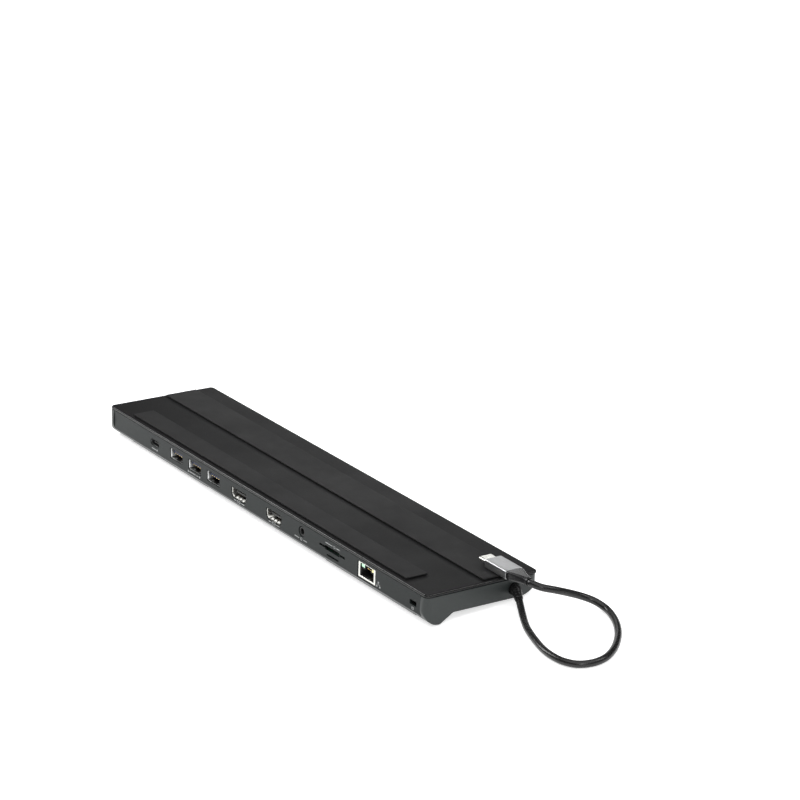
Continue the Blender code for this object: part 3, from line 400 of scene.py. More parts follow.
def edged(mesh, width, segments):
    def build(holder):
        modifier = holder.modifiers.new("edge", "BEVEL")
        modifier.width = width * MM
        modifier.segments = segments
        modifier.limit_method = "ANGLE"
        modifier.angle_limit = math.radians(EDGE_ANGLE)
        modifier.use_clamp_overlap = True

    return applied(mesh, build)


def refined(node, width, segments=2):
    """A CAD node's shape in the level frame, cleaned to flat faces and with rounded edges."""
    shape = bmesh.new()
    shape.from_mesh(NODES[node].data)
    shape.transform(TO_LEVEL)
    bmesh.ops.remove_doubles(shape, verts=shape.verts, dist=0.000002)
    bmesh.ops.dissolve_limit(shape, angle_limit=math.radians(1.0), verts=shape.verts, edges=shape.edges)
    mesh = bpy.data.meshes.new(node)
    shape.to_mesh(mesh)
    shape.free()
    return edged(mesh, width, segments)


def piece(name, mesh, material, nodes=(), body="dock", angle=38.0, level=True):
    if level:
        mesh.transform(BODY)
    mesh.name = name
    mesh.materials.clear()
    mesh.materials.append(material)
    mesh.polygons.foreach_set("material_index", [0] * len(mesh.polygons))
    mesh.shade_smooth()
    mesh.set_sharp_from_angle(angle=math.radians(angle))
    obj = bpy.data.objects.new(name, mesh)
    bpy.context.scene.collection.objects.link(obj)
    normals = obj.modifiers.new("normals", "WEIGHTED_NORMAL")
    normals.keep_sharp = True
    normals.weight = 60
    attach(obj, body)
    if nodes:
        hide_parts(*nodes)
    return obj


# ---------------------------------------------------------------- materials


class Graph:
    """Short hand for building one material's nodes."""

    def __init__(self, name):
        self.material = bpy.data.materials.new(name)
        self.material.use_nodes = True
        self.tree = self.material.node_tree
        self.shader = self.tree.nodes["Principled BSDF"]
        self.place = self.add("ShaderNodeTexCoord").outputs["Object"]

    def add(self, kind, **settings):
        node = self.tree.nodes.new(kind)
        for key, value in settings.items():
            setattr(node, key, value)
        return node

    def link(self, source, target):
        self.tree.links.new(source, target)

    def stretched(self, scale):
        node = self.add("ShaderNodeMapping")
        node.inputs["Scale"].default_value = scale
        self.link(self.place, node.inputs["Vector"])
        return node.outputs["Vector"]

    def noise(self, scale, detail=3.0, rough=0.5, vector=None):
        node = self.add("ShaderNodeTexNoise")
        node.inputs["Scale"].default_value = scale
        node.inputs["Detail"].default_value = detail
        node.inputs["Roughness"].default_value = rough
        self.link(vector or self.place, node.inputs["Vector"])
        return node.outputs["Fac"]

    def cells(self, scale, feature="F1", vector=None):
        node = self.add("ShaderNodeTexVoronoi", feature=feature)
        node.inputs["Scale"].default_value = scale
        self.link(vector or self.place, node.inputs["Vector"])
        return node.outputs["Distance"]

    def ranged(self, value, low, high, to_low, to_high):
        node = self.add("ShaderNodeMapRange")
        for key, number in (("From Min", low), ("From Max", high), ("To Min", to_low), ("To Max", to_high)):
            node.inputs[key].default_value = number
        self.link(value, node.inputs["Value"])
        return node.outputs["Result"]

    def maths(self, operation, first, second):
        node = self.add("ShaderNodeMath", operation=operation)
        for socket, value in zip(node.inputs, (first, second)):
            if isinstance(value, (int, float)):
                socket.default_value = value
            else:
                self.link(value, socket)
        return node.outputs[0]

    def mixed(self, factor, first, second):
        node = self.add("ShaderNodeMix", data_type="RGBA")
        self.link(factor, node.inputs["Factor"])
        for socket, value in ((node.inputs[6], first), (node.inputs[7], second)):
            if isinstance(value, (tuple, list)):
                socket.default_value = (*value, 1.0)
            else:
                self.link(value, socket)
        return node.outputs[2]

    def facing(self):
        """The direction that a face looks in, in its piece's own frame."""
        parts = self.add("ShaderNodeSeparateXYZ")
        self.link(self.add("ShaderNodeTexCoord").outputs["Normal"], parts.inputs[0])
        return parts.outputs

    def edges(self, radius, noise):
        """1 along the outer edges, broken up by a noise, and 0 on flat faces."""
        bevel = self.add("ShaderNodeBevel", samples=4)
        bevel.inputs["Radius"].default_value = radius
        geometry = self.add("ShaderNodeNewGeometry")
        dot = self.add("ShaderNodeVectorMath", operation="DOT_PRODUCT")
        self.link(bevel.outputs["Normal"], dot.inputs[0])
        self.link(geometry.outputs["Normal"], dot.inputs[1])
        bend = self.ranged(dot.outputs["Value"], 0.985, 0.86, 0.0, 1.0)
        return self.maths("MULTIPLY", bend, self.ranged(noise, 0.42, 0.62, 0.0, 1.0))

    def bump(self, height, strength, distance):
        node = self.add("ShaderNodeBump")
        node.inputs["Strength"].default_value = strength
        node.inputs["Distance"].default_value = distance
        self.link(height, node.inputs["Height"])
        self.link(node.outputs["Normal"], self.shader.inputs["Normal"])


def tinted(colour, factor):
    return tuple(min(1.0, channel * factor) for channel in colour)


TONE_DRIFT = 0.10
WEAR_WIDTH = 0.45
RIM_COAT = 0.38


def moulded(name, colour, rough, grain=2600.0, depth=0.02, wear=0.0, specular=0.5, rim=0.0, dust=0.0):
    """Moulded plastic: fine spark-eroded grain, broad tone drift, worn edges and a little dust."""
    graph = Graph(name)
    broad = graph.noise(26.0, 3.0)
    fine = graph.noise(grain, 3.0, 0.6)
    pits = graph.cells(grain * 0.55)
    drift = graph.ranged(broad, 0.3, 0.7, 0.0, 1.0)
    tone = graph.mixed(drift, tinted(colour, 1 - TONE_DRIFT), tinted(colour, 1 + TONE_DRIFT))
    tone = graph.mixed(graph.ranged(fine, 0.35, 0.75, 0.0, 0.35), tone, tinted(colour, 1.45))
    if wear:
        scuff = graph.noise(210.0, 4.0, 0.65)
        worn = graph.maths("MULTIPLY", graph.edges(WEAR_WIDTH * MM, scuff), wear)
        tone = graph.mixed(worn, tone, tinted(colour, 3.2))
    if dust:
        specks = graph.ranged(graph.noise(900.0, 5.0, 0.8), 0.66, 0.78, 0.0, dust)
        tone = graph.mixed(specks, tone, (0.33, 0.32, 0.30))
    graph.link(tone, graph.shader.inputs["Base Color"])
    patches = graph.ranged(broad, 0.3, 0.7, -0.04, 0.04)
    finish = graph.maths("ADD", patches, graph.ranged(fine, 0.3, 0.7, rough - 0.05, rough + 0.07))
    if rim:
        upward = graph.facing()["Z"]
        finish = graph.maths("ADD", finish, graph.ranged(upward, 0.80, 0.97, rim - rough, 0.0))
        graph.link(graph.ranged(upward, 0.80, 0.97, RIM_COAT, 0.0), graph.shader.inputs["Coat Weight"])
        graph.shader.inputs["Coat Roughness"].default_value = 0.18
    graph.link(finish, graph.shader.inputs["Roughness"])
    height = graph.maths("ADD", fine, graph.maths("MULTIPLY", pits, 0.6))
    graph.bump(height, 0.35, depth * MM)
    graph.shader.inputs["Specular IOR Level"].default_value = specular
    return graph.material


def rubber(name, colour, rough, specular=0.4, dust=0.12):
    """Soft rubber: a dry skin of tiny cells with rubbed patches and lint."""
    graph = Graph(name)
    broad = graph.noise(34.0, 4.0, 0.6)
    cells = graph.cells(1900.0)
    fine = graph.noise(4200.0, 2.0)
    tone = graph.mixed(graph.ranged(broad, 0.32, 0.68, 0.0, 1.0), tinted(colour, 0.86), tinted(colour, 1.14))
    tone = graph.mixed(graph.ranged(cells, 0.1, 0.7, 0.0, 0.4), tone, tinted(colour, 1.5))
    specks = graph.ranged(graph.noise(1300.0, 5.0, 0.85), 0.68, 0.80, 0.0, dust)
    tone = graph.mixed(specks, tone, (0.35, 0.34, 0.32))
    graph.link(tone, graph.shader.inputs["Base Color"])
    graph.link(graph.ranged(broad, 0.3, 0.7, rough - 0.07, rough + 0.07), graph.shader.inputs["Roughness"])
    graph.bump(graph.maths("ADD", cells, graph.maths("MULTIPLY", fine, 0.5)), 0.4, 0.025 * MM)
    graph.shader.inputs["Specular IOR Level"].default_value = specular
    graph.shader.inputs["Sheen Weight"].default_value = 0.02
    graph.shader.inputs["Sheen Roughness"].default_value = 0.5
    return graph.material


EVEN = (1.0, 1.0, 1.0)
STAIN = 0.10
STREAK_DEPTH = 0.006


def metal(name, colour, rough, stretch=EVEN, streak=900.0, anisotropy=0.0, rim=1.0, inner=1.0):
    """Plated or drawn metal: fine streaks, faint stains, small scratches, and painted shade that darkens the
    front rim (rim) and the inside (inner).
    """
    graph = Graph(name)
    lines = graph.noise(streak, 4.0, 0.65, graph.stretched(stretch))
    broad = graph.noise(90.0, 4.0, 0.6)
    nicks = graph.cells(520.0, "DISTANCE_TO_EDGE")
    stains = graph.ranged(broad, 0.35, 0.7, 0.0, 1.0)
    tone = graph.mixed(stains, tinted(colour, 1.0 + STAIN / 2), tinted(colour, 1.0 - STAIN))
    tone = graph.mixed(graph.ranged(lines, 0.3, 0.7, 0.0, 0.3), tone, tinted(colour, 0.72))
    # Painted shade: faces looking out along +Y (the front rim) take rim times the colour, and faces turned
    # across or inwards take inner times the colour.
    if rim < 1.0:
        outward = graph.facing()["Y"]
        tone = graph.mixed(graph.ranged(outward, 0.75, 0.95, 0.0, 1.0), tone, tinted(colour, rim))
        tone = graph.mixed(graph.ranged(outward, 0.12, 0.34, 1.0, 0.0), tone, tinted(colour, inner))
    graph.link(tone, graph.shader.inputs["Base Color"])
    scratch = graph.ranged(nicks, 0.0, 0.02, 0.10, 0.0)
    finish = graph.maths("ADD", graph.ranged(lines, 0.3, 0.7, rough - 0.07, rough + 0.10), scratch)
    graph.link(finish, graph.shader.inputs["Roughness"])
    graph.bump(lines, 0.25, STREAK_DEPTH * MM)
    graph.shader.inputs["Metallic"].default_value = 1.0
    graph.shader.inputs["Anisotropic"].default_value = anisotropy
    return graph.material


def circuit_board():
    """Solder-masked board: copper runs under the mask, a woven base and silvery pads."""
    graph = Graph("board_green")
    runs = graph.cells(420.0, "DISTANCE_TO_EDGE", graph.stretched((1.0, 1.0, 0.01)))
    weave = graph.noise(3000.0, 2.0, 0.5, graph.stretched((1.0, 0.25, 1.0)))
    pads = graph.cells(900.0, "F1", graph.stretched((1.0, 1.0, 0.01)))
    tone = graph.mixed(graph.ranged(runs, 0.03, 0.05, 1.0, 0.0), (0.006, 0.055, 0.024), (0.015, 0.11, 0.045))
    tone = graph.mixed(graph.ranged(weave, 0.4, 0.7, 0.0, 0.4), tone, (0.01, 0.07, 0.03))
    tone = graph.mixed(graph.ranged(pads, 0.10, 0.14, 0.5, 0.0), tone, (0.62, 0.60, 0.55))
    graph.link(tone, graph.shader.inputs["Base Color"])
    graph.link(graph.ranged(runs, 0.0, 0.1, 0.30, 0.42), graph.shader.inputs["Roughness"])
    graph.bump(graph.ranged(runs, 0.03, 0.06, 1.0, 0.0), 0.3, 0.03 * MM)
    return graph.material


def lamp_lens(name, colour, strength):
    """A clouded lens over a small light."""
    graph = Graph(name)
    cloud = graph.noise(700.0, 3.0, 0.6)
    tone = graph.mixed(graph.ranged(cloud, 0.3, 0.7, 0.0, 1.0), tinted(colour, 0.8), tinted(colour, 1.2))
    graph.link(tone, graph.shader.inputs["Base Color"])
    graph.link(tone, graph.shader.inputs["Emission Color"])
    graph.link(graph.ranged(cloud, 0.3, 0.7, 0.16, 0.30), graph.shader.inputs["Roughness"])
    graph.bump(cloud, 0.2, 0.01 * MM)
    graph.shader.inputs["Emission Strength"].default_value = strength
    graph.shader.inputs["Coat Weight"].default_value = 0.5
    return graph.material


DRAWN_ALONG_X = (0.06, 1.0, 1.0)
DRAWN_ALONG_Y = (1.0, 0.12, 1.0)
COVER_TONE = (0.0076, 0.0076, 0.0079)
COVER = moulded("cover_plastic", COVER_TONE, 0.50, wear=0.08, specular=0.10, rim=0.24, dust=0.012)
CASE = moulded("case_plastic", (0.0235, 0.0278, 0.0272), 0.34, wear=0.12, specular=0.38)
PANEL = moulded("panel_plastic", (0.0108, 0.0140, 0.0137), 0.33, grain=3000.0, wear=0.10, specular=0.13)
GRIP = rubber("grip_rubber", (0.0098, 0.0098, 0.0101), 0.60, specular=0.19, dust=0.04)
FOOT = rubber("foot_rubber", (0.016, 0.016, 0.016), 0.75)
PRINT = moulded("printed_marks", (0.36, 0.37, 0.37), 0.55, grain=4000.0, depth=0.004)
BLACK = moulded("black_plastic", (0.012, 0.012, 0.012), 0.42, specular=0.4)
BLUE = moulded("blue_plastic", (0.005, 0.012, 0.045), 0.38, specular=0.25)
WHITE = moulded("white_plastic", (0.70, 0.70, 0.66), 0.45)
JACKET = moulded("cable_jacket", (0.0105, 0.0105, 0.0105), 0.27, grain=1500.0, depth=0.012, specular=0.42)
BOOT = moulded("boot_plastic", (0.0115, 0.0115, 0.0120), 0.24, grain=2200.0, depth=0.008, specular=0.5)
SLEEVE = metal("sleeve_aluminium", (0.56, 0.565, 0.57), 0.34, DRAWN_ALONG_X, streak=2600.0, anisotropy=0.3)
SHEET = metal("plated_sheet", (0.72, 0.72, 0.68), 0.22, DRAWN_ALONG_Y, streak=1500.0)
# Both port metals carry painted shade: the front rim is darkened to a tenth of the colour, and the inside to
# 0.8 of it here and to 0.16 in the deep-shade port metal below.
PORT = metal("port_sheet", (0.78, 0.78, 0.75), 0.36, DRAWN_ALONG_Y, streak=1500.0, rim=0.10, inner=0.8)
PORT_DEEP_PAINTED_SHADE = metal("port_sheet_deep_painted_shade", (0.78, 0.79, 0.79), 0.36, DRAWN_ALONG_Y, rim=0.10, inner=0.16)
# Painted shade: the lock bracket's steel is given a near-black tone that stands in for the shade inside the
# lock slot.
BRACKET_PAINTED_SHADE = metal("bracket_steel_painted_shade", (0.10, 0.10, 0.098), 0.46, streak=1100.0)
STEEL = metal("plated_steel", (0.60, 0.59, 0.57), 0.26, streak=1100.0)
ALUMINIUM = metal("spreader_aluminium", (0.72, 0.72, 0.73), 0.36, stretch=(0.05, 1.0, 1.0), streak=1800.0)
GOLD = metal("gold_contacts", (0.90, 0.66, 0.28), 0.20, streak=2000.0)
PAD = moulded("thermal_pad", (0.30, 0.33, 0.40), 0.75, grain=1400.0, depth=0.05)
BOARD = circuit_board()
GREEN_LAMP = lamp_lens("green_lamp", (0.52, 0.90, 0.62), 0.35)
AMBER_LAMP = lamp_lens("amber_lamp", (0.88, 0.80, 0.36), 0.25)


# ---------------------------------------------------------------- cable, strain relief and plug


def make_cable():
    knots = cable_knots()
    curve = bpy.data.curves.new("host_cable_line", "CURVE")
    curve.dimensions = "3D"
    curve.bevel_depth = CABLE_RADIUS * MM
    curve.bevel_resolution = 10
    curve.resolution_u = 10
    curve.use_fill_caps = True
    spline = curve.splines.new("BEZIER")
    spline.bezier_points.add(len(knots) - 1)
    ends = [2 * knots[0] - knots[1], *knots, 2 * knots[-1] - knots[-2]]
    for knot, before, here, after in zip(spline.bezier_points, ends, ends[1:], ends[2:]):
        slope = (after - before) / 6
        knot.co = here
        knot.handle_left = here - slope
        knot.handle_right = here + slope
        knot.handle_left_type = "FREE"
        knot.handle_right_type = "FREE"
    curve.materials.append(JACKET)
    cable = bpy.data.objects.new("host_cable_tube", curve)
    bpy.context.scene.collection.objects.link(cable)
    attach(cable, "dock")
    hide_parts("host_cable")
    return cable


def eased(t):
    return t * t * (3 - 2 * t)


def make_strain_relief():
    """The moulded sleeve round the cable where it leaves the case, with its keeper flange inside the wall."""
    seat = span("cable_strain_relief")[1].x
    case_end = span("lower_case")[0].x
    tip = Vector(CABLE_ROUTE[0])
    centre = Vector((case_end, *CABLE_EXIT))
    inside = to_row((seat, centre.y, centre.z)) / MM
    wall = to_row((case_end, centre.y, centre.z)) / MM
    lead = wall + Vector((-2.6, 0.5, -0.2))
    bend = wall.lerp(tip, 0.62) + Vector((0.1, -0.35, 0.15))
    path = through([inside, wall, lead, bend, tip], 10)
    radii = []
    total = len(path) - 1
    for k in range(len(path)):
        t = k / total
        swell = 2.9 - 0.62 * eased(max(0.0, (t - 0.45) / 0.55))
        groove = 0.0
        if 0.58 < t < 0.92:
            groove = 0.16 * max(0.0, math.cos(2 * math.pi * (t - 0.62) / 0.115)) ** 3
        rim = 0.30 * max(0.0, (t - 0.975) / 0.025) ** 2
        radii.append(swell - groove - rim)
    dense = []
    dense_radii = []
    for k in range(total):
        for step in range(3):
            t = step / 3
            dense.append(path[k].lerp(path[k + 1], t))
            dense_radii.append(radii[k] * (1 - t) + radii[k + 1] * t)
    dense.append(path[-1])
    dense_radii.append(radii[-1])
    body = sweep(dense, dense_radii, count=40)
    profile = [(2.6, -163.0), (3.5, -163.0), (3.8, -162.7), (3.8, -161.5), (3.5, -161.2), (2.6, -161.2)]
    flange = lathe([(radius, x - case_end) for radius, x in profile], (0, 0, 0), "X")
    flange.transform(BODY @ Matrix.Translation(Vector((case_end, centre.y, centre.z)) * MM))
    mesh = joined([body, flange])
    return piece("strain_relief_sleeve", mesh, JACKET, ["cable_strain_relief"], level=False)


def make_plug_sleeve():
    low, high = span("plug_sleeve")
    size = high - low
    at = ((low.y + high.y) / 2, (low.z + high.z) / 2)
    outer = rounded(size.y, size.z, 0.9, at, 8)
    inner = rounded(size.y - 1.0, size.z - 1.0, 0.5, at, 8)
    mesh = slab([outer, inner], low.x, high.x, "YZ", 0.16, 3)
    return piece("plug_metal_sleeve", mesh, SLEEVE, ["plug_sleeve"])


def make_plug_boot():
    low, high = span("plug_boot")
    sleeve_low, sleeve_high = span("plug_sleeve")
    centre = middle("plug_sleeve")
    at = (centre.y, centre.z)
    size = sleeve_high - sleeve_low
    collar = low.x + 1.0
    mouth = sleeve_low.x - 0.3
    rings = []

    def ring(x, width, height, radius):
        rings.append([(x, y, z) for y, z in rounded(width, height, min(radius, height / 2 - 0.02), at, 8)])

    core = (size.y - 1.6, size.z - 1.6, 0.3)
    ring(high.x, core[0] - 0.5, core[1] - 0.5, 0.2)
    ring(high.x - 0.2, *core)
    ring(mouth, *core)
    wide, tall = size.y - 0.3, size.z - 0.2
    ring(mouth - 0.01, wide - 0.5, tall - 0.5, 0.8)
    ring(mouth - 0.08, wide - 0.12, tall - 0.12, 0.95)
    ring(mouth - 0.25, wide, tall, 1.0)
    ring(mouth - 1.4, wide, tall, 1.0)
    steps = 14
    for step in range(1, steps + 1):
        t = step / steps
        fall = 1 - (1 - t) ** 1.55
        width = wide + (4.9 - wide) * fall
        height = tall + (4.4 - tall) * t
        ring(mouth - 1.4 + (collar + 0.25 - mouth + 1.4) * t, width, height, 1.0 + 1.1 * t)
    ring(collar + 0.08, 4.5, 4.2, 2.0)
    ring(collar + 0.02, 4.0, 4.0, 1.95)
    ring(collar - 0.02, 4.2, 4.2, 2.08)
    ring(collar - 0.15, 4.6, 4.6, 2.28)
    ring(low.x + 0.15, 4.6, 4.6, 2.28)
    ring(low.x, 4.2, 4.2, 2.08)
    return piece("plug_moulded_boot", loft(rings), BOOT, ["plug_boot"])


def make_plug_tip():
    low, high = span("plug_shell")
    at = (middle("plug_shell").y, middle("plug_shell").z)
    outer = rounded(8.25, 2.4, 1.19, at, 12)
    inner = rounded(7.65, 1.8, 0.89, at, 12)
    shell = slab([outer, inner], low.x, high.x, "YZ", 0.1, 3)
    piece("plug_tip_shell", shell, SHEET, ["plug_shell"])
    core_low, core_high = span("plug_insulator")
    outer = rounded(6.9, 1.16, 0.3, at, 4)
    mouth = rounded(6.2, 0.66, 0.2, at, 4)
    core = slab([outer], core_low.x, core_high.x, "YZ", 0.08, 2)
    core = cut(core, slab([mouth], core_low.x + 1.2, core_high.x + 1.0, "YZ"))
    piece("plug_tip_core", core, BLACK, ["plug_insulator"])
    rows = []
    for side in (-1, 1):
        for y in row_of(at[0], 12, 0.5):
            z = at[1] + side * 0.29
            back, front = core_high.x - 3.6, core_high.x - 0.3
            rows.append(block((back, y - 0.11, z - 0.045), (front, y + 0.11, z + 0.045), 0.02, 2))
    piece("plug_tip_contacts", joined(rows), GOLD)


def make_cord():
    cable = make_cable()
    relief = make_strain_relief()
    make_plug_sleeve()
    make_plug_boot()
    make_plug_tip()


make_cord()


# ---------------------------------------------------------------- cover and case


def quarter(radius, segments):
    """Insets and drops of a rounded rim, from the flat face outwards."""
    steps = []
    for k in range(segments + 1):
        angle = math.radians(90 * k / segments)
        steps.append((radius * (1 - math.sin(angle)), radius * (1 - math.cos(angle))))
    return steps


def layered(width, depth, corner, layers, centre, count):
    """A rounded plate through (inset, z) layers."""
    rings = []
    for inset, z in layers:
        outline = rounded(width - 2 * inset, depth - 2 * inset, max(corner - inset, 0.12), centre, count)
        rings.append([(u, v, z) for u, v in outline])
    return loft(rings)


SCREWS = [middle(f"case_screw_{k}") for k in range(1, 5)]
BOARD_SCREWS = [middle(f"board_screw_{k}") for k in range(1, 5)]
COVER_THICKNESS = 1.6
COVER_CORNER = 2.5
COVER_TOP_ROUND = 0.9
COVER_UNDER_ROUND = 0.4


def at_screws(screws, profile, count=48):
    """The same turned shape at each screw: profile in (radius, height)."""
    return joined([lathe(profile, (screw.x, screw.y, 0.0), count=count) for screw in screws])


def make_cover():
    low, high = span("top_cover")
    size = high - low
    centre = ((low.x + high.x) / 2, (low.y + high.y) / 2)
    top, under = high.z, high.z - COVER_THICKNESS
    layers = [(inset, top - drop) for inset, drop in quarter(COVER_TOP_ROUND, 10)]
    layers += [(inset, under + drop) for inset, drop in reversed(quarter(COVER_UNDER_ROUND, 5))]
    plate = layered(size.x, size.y, COVER_CORNER, layers, centre, 16)
    plate = cut(plate, at_screws(SCREWS, [(2.6, 10.0), (2.6, under)]), "UNION")
    plate = cut(plate, at_screws(SCREWS, [(1.45, 9.4), (1.2, 10.3), (1.2, 14.4)]))
    return piece("cover_plate", plate, COVER, ["top_cover"], angle=30.0)


GAP = 0.3
ABOVE = 3.0
FLOOR = 6.2
CASE_CORNER = 4.0
END_ROUND = 0.45


BELLY = 4.9
BULGE = 0.6
BULGE_TURN = 25.0
FOOT_REAR = 8.6
FOOT_FRONT = 3.2
FLANK_TURN = 42.0
ROOT_ROUND = 3.5
ROOT_SETBACK = 18.26
NOSE_DEPTH = 12.0
NOSE_TOP = 14.5
ROUND_STEPS = 3


def case_section(inset, top):
    """The case's side outline, (y, z), drawn inset inside its skin and flat at top."""
    low, high = span("lower_case")
    rear, front, rim = high.y, low.y, high.z
    depth = BULGE / (1 - math.cos(math.radians(BULGE_TURN)))
    rise = (rim - FOOT_REAR) / math.sin(math.radians(BULGE_TURN))
    heel = rear - FOOT_REAR
    root = (rear - ROOT_SETBACK, BELLY - ROOT_ROUND)
    nose = (front + NOSE_DEPTH, NOSE_TOP)
    flank = 4 * ROUND_STEPS
    back, sole, bend = FOOT_REAR - inset, FOOT_FRONT - inset, ROOT_ROUND + inset
    points = arc((rear - depth, FOOT_REAR), depth - inset, rise, BULGE_TURN, 0, flank)
    if top > rim:
        points.insert(0, (points[0][0], top))
    points += arc((heel, FOOT_REAR), back, back, 0, -90, 8 * ROUND_STEPS)[1:]
    points += arc((heel, FOOT_FRONT), sole, sole, -90, -90 - FLANK_TURN, flank)[1:]
    points += arc(root, bend, bend, 90 - FLANK_TURN, 90, flank)
    points += arc(nose, NOSE_DEPTH - inset, NOSE_TOP - BELLY - inset, -90, -180, 7 * ROUND_STEPS)
    points.append((front + inset, top))
    return points


def case_skin(half, top):
    """Rings of the case's outside from one end to the other, with rounded end corners and crisp end rims."""
    low, high = span("lower_case")
    stations = []
    for k in range(5):
        turn = math.radians(90 * k / 4)
        stations.append((END_ROUND * (1 - math.sin(turn)), END_ROUND * (1 - math.cos(turn))))
    stations = [(drop, inset) for inset, drop in stations]
    for along in (0.7, 1.0, 1.4, 1.9, 2.5, 3.2, CASE_CORNER):
        stations.append((along, 0.0))
    rings = []
    for along, inset in stations:
        across = CASE_CORNER - along
        pull = CASE_CORNER - math.sqrt(max(CASE_CORNER**2 - across**2, 0.0))
        pull = max(pull, inset)
        ring = []
        for y, z in case_section(inset, top):
            ring.append((min(max(y, low.y + pull), high.y - pull), z))
        rings.append((along, ring))
    sides = [(-half + along, ring) for along, ring in rings]
    sides += [(half - along, ring) for along, ring in reversed(rings)]
    return loft([[(x, y, z) for y, z in ring] for x, ring in sides])


def make_case():
    low, high = span("lower_case")
    half = (high.x - low.x) / 2
    top = high.z
    panel_low, panel_high = span("rear_panel")
    case = case_skin(half, top)
    inner = case_section(1.3, top + ABOVE)
    cavity = loft([[(x, y, z) for y, z in inner] for x in (-half + 2.2, half - 2.2)])
    case = cut(case, cavity)
    opening_low = (panel_low.x - GAP, panel_low.y - 2 * GAP, panel_low.z - GAP)
    opening = block(opening_low, (panel_high.x + GAP, panel_high.y + 2.0, top + ABOVE))
    case = cut(case, opening)
    posts = [
        at_screws(BOARD_SCREWS, [(2.2, FLOOR - 0.5), (2.2, 7.3), (2.0, 7.6)]),
        at_screws(SCREWS, [(3.4, FLOOR - 0.5), (3.4, FLOOR + 3.2), (3.1, FLOOR + 3.5)]),
    ]
    case = cut(case, joined(posts), "UNION")
    holes = [
        at_screws(BOARD_SCREWS, [(0.9, 5.7), (0.9, 9.7)], 24),
        at_screws(SCREWS, [(1.3, 6.7), (1.3, 12.7)], 24),
    ]
    case = cut(case, joined(holes))
    case = cut(case, at_screws(SCREWS, [(3.2, 4.0), (2.75, 4.9), (2.5, 5.15), (2.5, 7.1)]))
    pockets = []
    for side in ("left", "right"):
        pad_low, pad_high = span(f"rear_foot_{side}")
        corner = (pad_low.x - GAP, pad_low.y - GAP, -1.0)
        pockets.append(block(corner, (pad_high.x + GAP, pad_high.y + GAP, 0.7), 0.2, 2))
    case = cut(case, joined(pockets))
    gland = lathe([(3.55, -1.0), (3.55, 0.0), (3.2, 0.35), (3.2, 5.0)], (low.x, *CABLE_EXIT), "X")
    case = cut(case, gland)
    return piece("case_shell", case, CASE, ["lower_case"], angle=32.0)


def socket_box(node):
    """A socket's box, its centre (x, z), and its width and height."""
    low, high = span(node)
    at = ((low.x + high.x) / 2, (low.z + high.z) / 2)
    return low, high, at, high.x - low.x, high.z - low.z


def make_panel():
    low, high = span("rear_panel")
    tall = high.z - low.z + 0.18
    face = rounded(high.x - low.x, tall, 0.25, ((low.x + high.x) / 2, low.z + tall / 2), 3)
    holes = []
    _, _, at, width, height = socket_box("usb_c_shell")
    tall = height + 2 * GAP
    holes.append(rounded(width + 2 * GAP, tall, tall / 2 - 0.01, at, 12))
    for k in range(1, 4):
        _, _, at, width, height = socket_box(f"usb_a_shell_{k}")
        holes.append(rounded(width + 2 * GAP, height + 2 * GAP, 0.55, at, 5))
    for k in range(1, 3):
        _, _, at, width, height = socket_box(f"display_shell_{k}")
        holes.append(d_shape(width, height, at, GAP, 0.7))
    ring = middle("audio_jack_ring")
    holes.append(circle(2.9, (ring.x, ring.z), 64))
    sd_x, sd_z = SD_SLOT_AT
    wide, tall, mid, deep = 12.3, 0.55, 6.8, 1.1
    slot = [(-wide, -tall), (-mid, -tall), (-mid, -deep), (mid, -deep), (mid, -tall), (wide, -tall)]
    slot += [(-u, -v) for u, v in slot]
    holes.append(soften([(sd_x + u, sd_z + v) for u, v in slot], 0.22, 3))
    holes.append(rounded(11.3, 0.9, 0.3, MICRO_SLOT_AT, 4))
    _, _, at, width, height = socket_box("network_shield")
    holes.append(rounded(width + 2 * GAP, height + 2 * GAP, 0.3, at, 4))
    holes.append(rounded(6.0, 2.5, 0.5, LOCK_AT, 6))
    mesh = slab([face, *holes], low.y, high.y, "XZ", 0.14, 3)
    return piece("socket_panel", mesh, PANEL, ["rear_panel"])


SD_SLOT_AT = (middle("sd_socket_base").x, span("sd_socket_base")[0].z + 1.2)
MICRO_SLOT_AT = (middle("micro_sd_socket_base").x, span("micro_sd_socket_base")[1].z - 0.65)
LOCK_AT = (middle("lock_bracket").x, middle("lock_bracket").z - 0.6)
PANEL_Y = span("rear_panel")[1].y


def make_strips():
    for node, name in (("rear_grip_strip", "rear_grip"), ("front_grip_strip", "front_grip")):
        low, high = span(node)
        layers = [(inset, high.z - drop) for inset, drop in quarter(0.35, 6)]
        layers += [(0.0, low.z + 0.12), (0.12, low.z)]
        centre = ((low.x + high.x) / 2, (low.y + high.y) / 2)
        mesh = layered(high.x - low.x, high.y - low.y, 0.7, layers, centre, 8)
        piece(name, mesh, GRIP, [node])


def make_pads():
    for end in ("rear", "front"):
        for side in ("left", "right"):
            node = f"{end}_foot_{side}"
            piece(f"{end}_pad_{side}", refined(node, 0.25, 4), FOOT, [node])


def screw_mesh(centre, head_low, head_high, head, shank_end, shank, up):
    """A round-headed screw with a cross recess; up is +1 where the head faces up."""
    reach = (head_high - head_low) * 0.35
    face, seat = (head_high, head_low) if up > 0 else (head_low, head_high)
    profile = [(0.0, face), (head * 0.55, face), (head * 0.85, face - up * reach * 0.35)]
    profile += [(head, face - up * reach), (head, seat), (shank, seat), (shank, shank_end), (0.0, shank_end)]
    mesh = lathe(profile, (centre.x, centre.y, 0.0), count=40)
    arm, thick, deep = head * 0.55, head * 0.13, (head_high - head_low) * 0.6
    bars = []
    for long_x, long_y in ((arm, thick), (thick, arm)):
        bottom, top = sorted((face + up * 0.2, face - up * deep))
        corner = (centre.x - long_x, centre.y - long_y, bottom)
        bars.append(block(corner, (centre.x + long_x, centre.y + long_y, top)))
    for bar in bars:
        mesh = cut(mesh, bar)
    return mesh


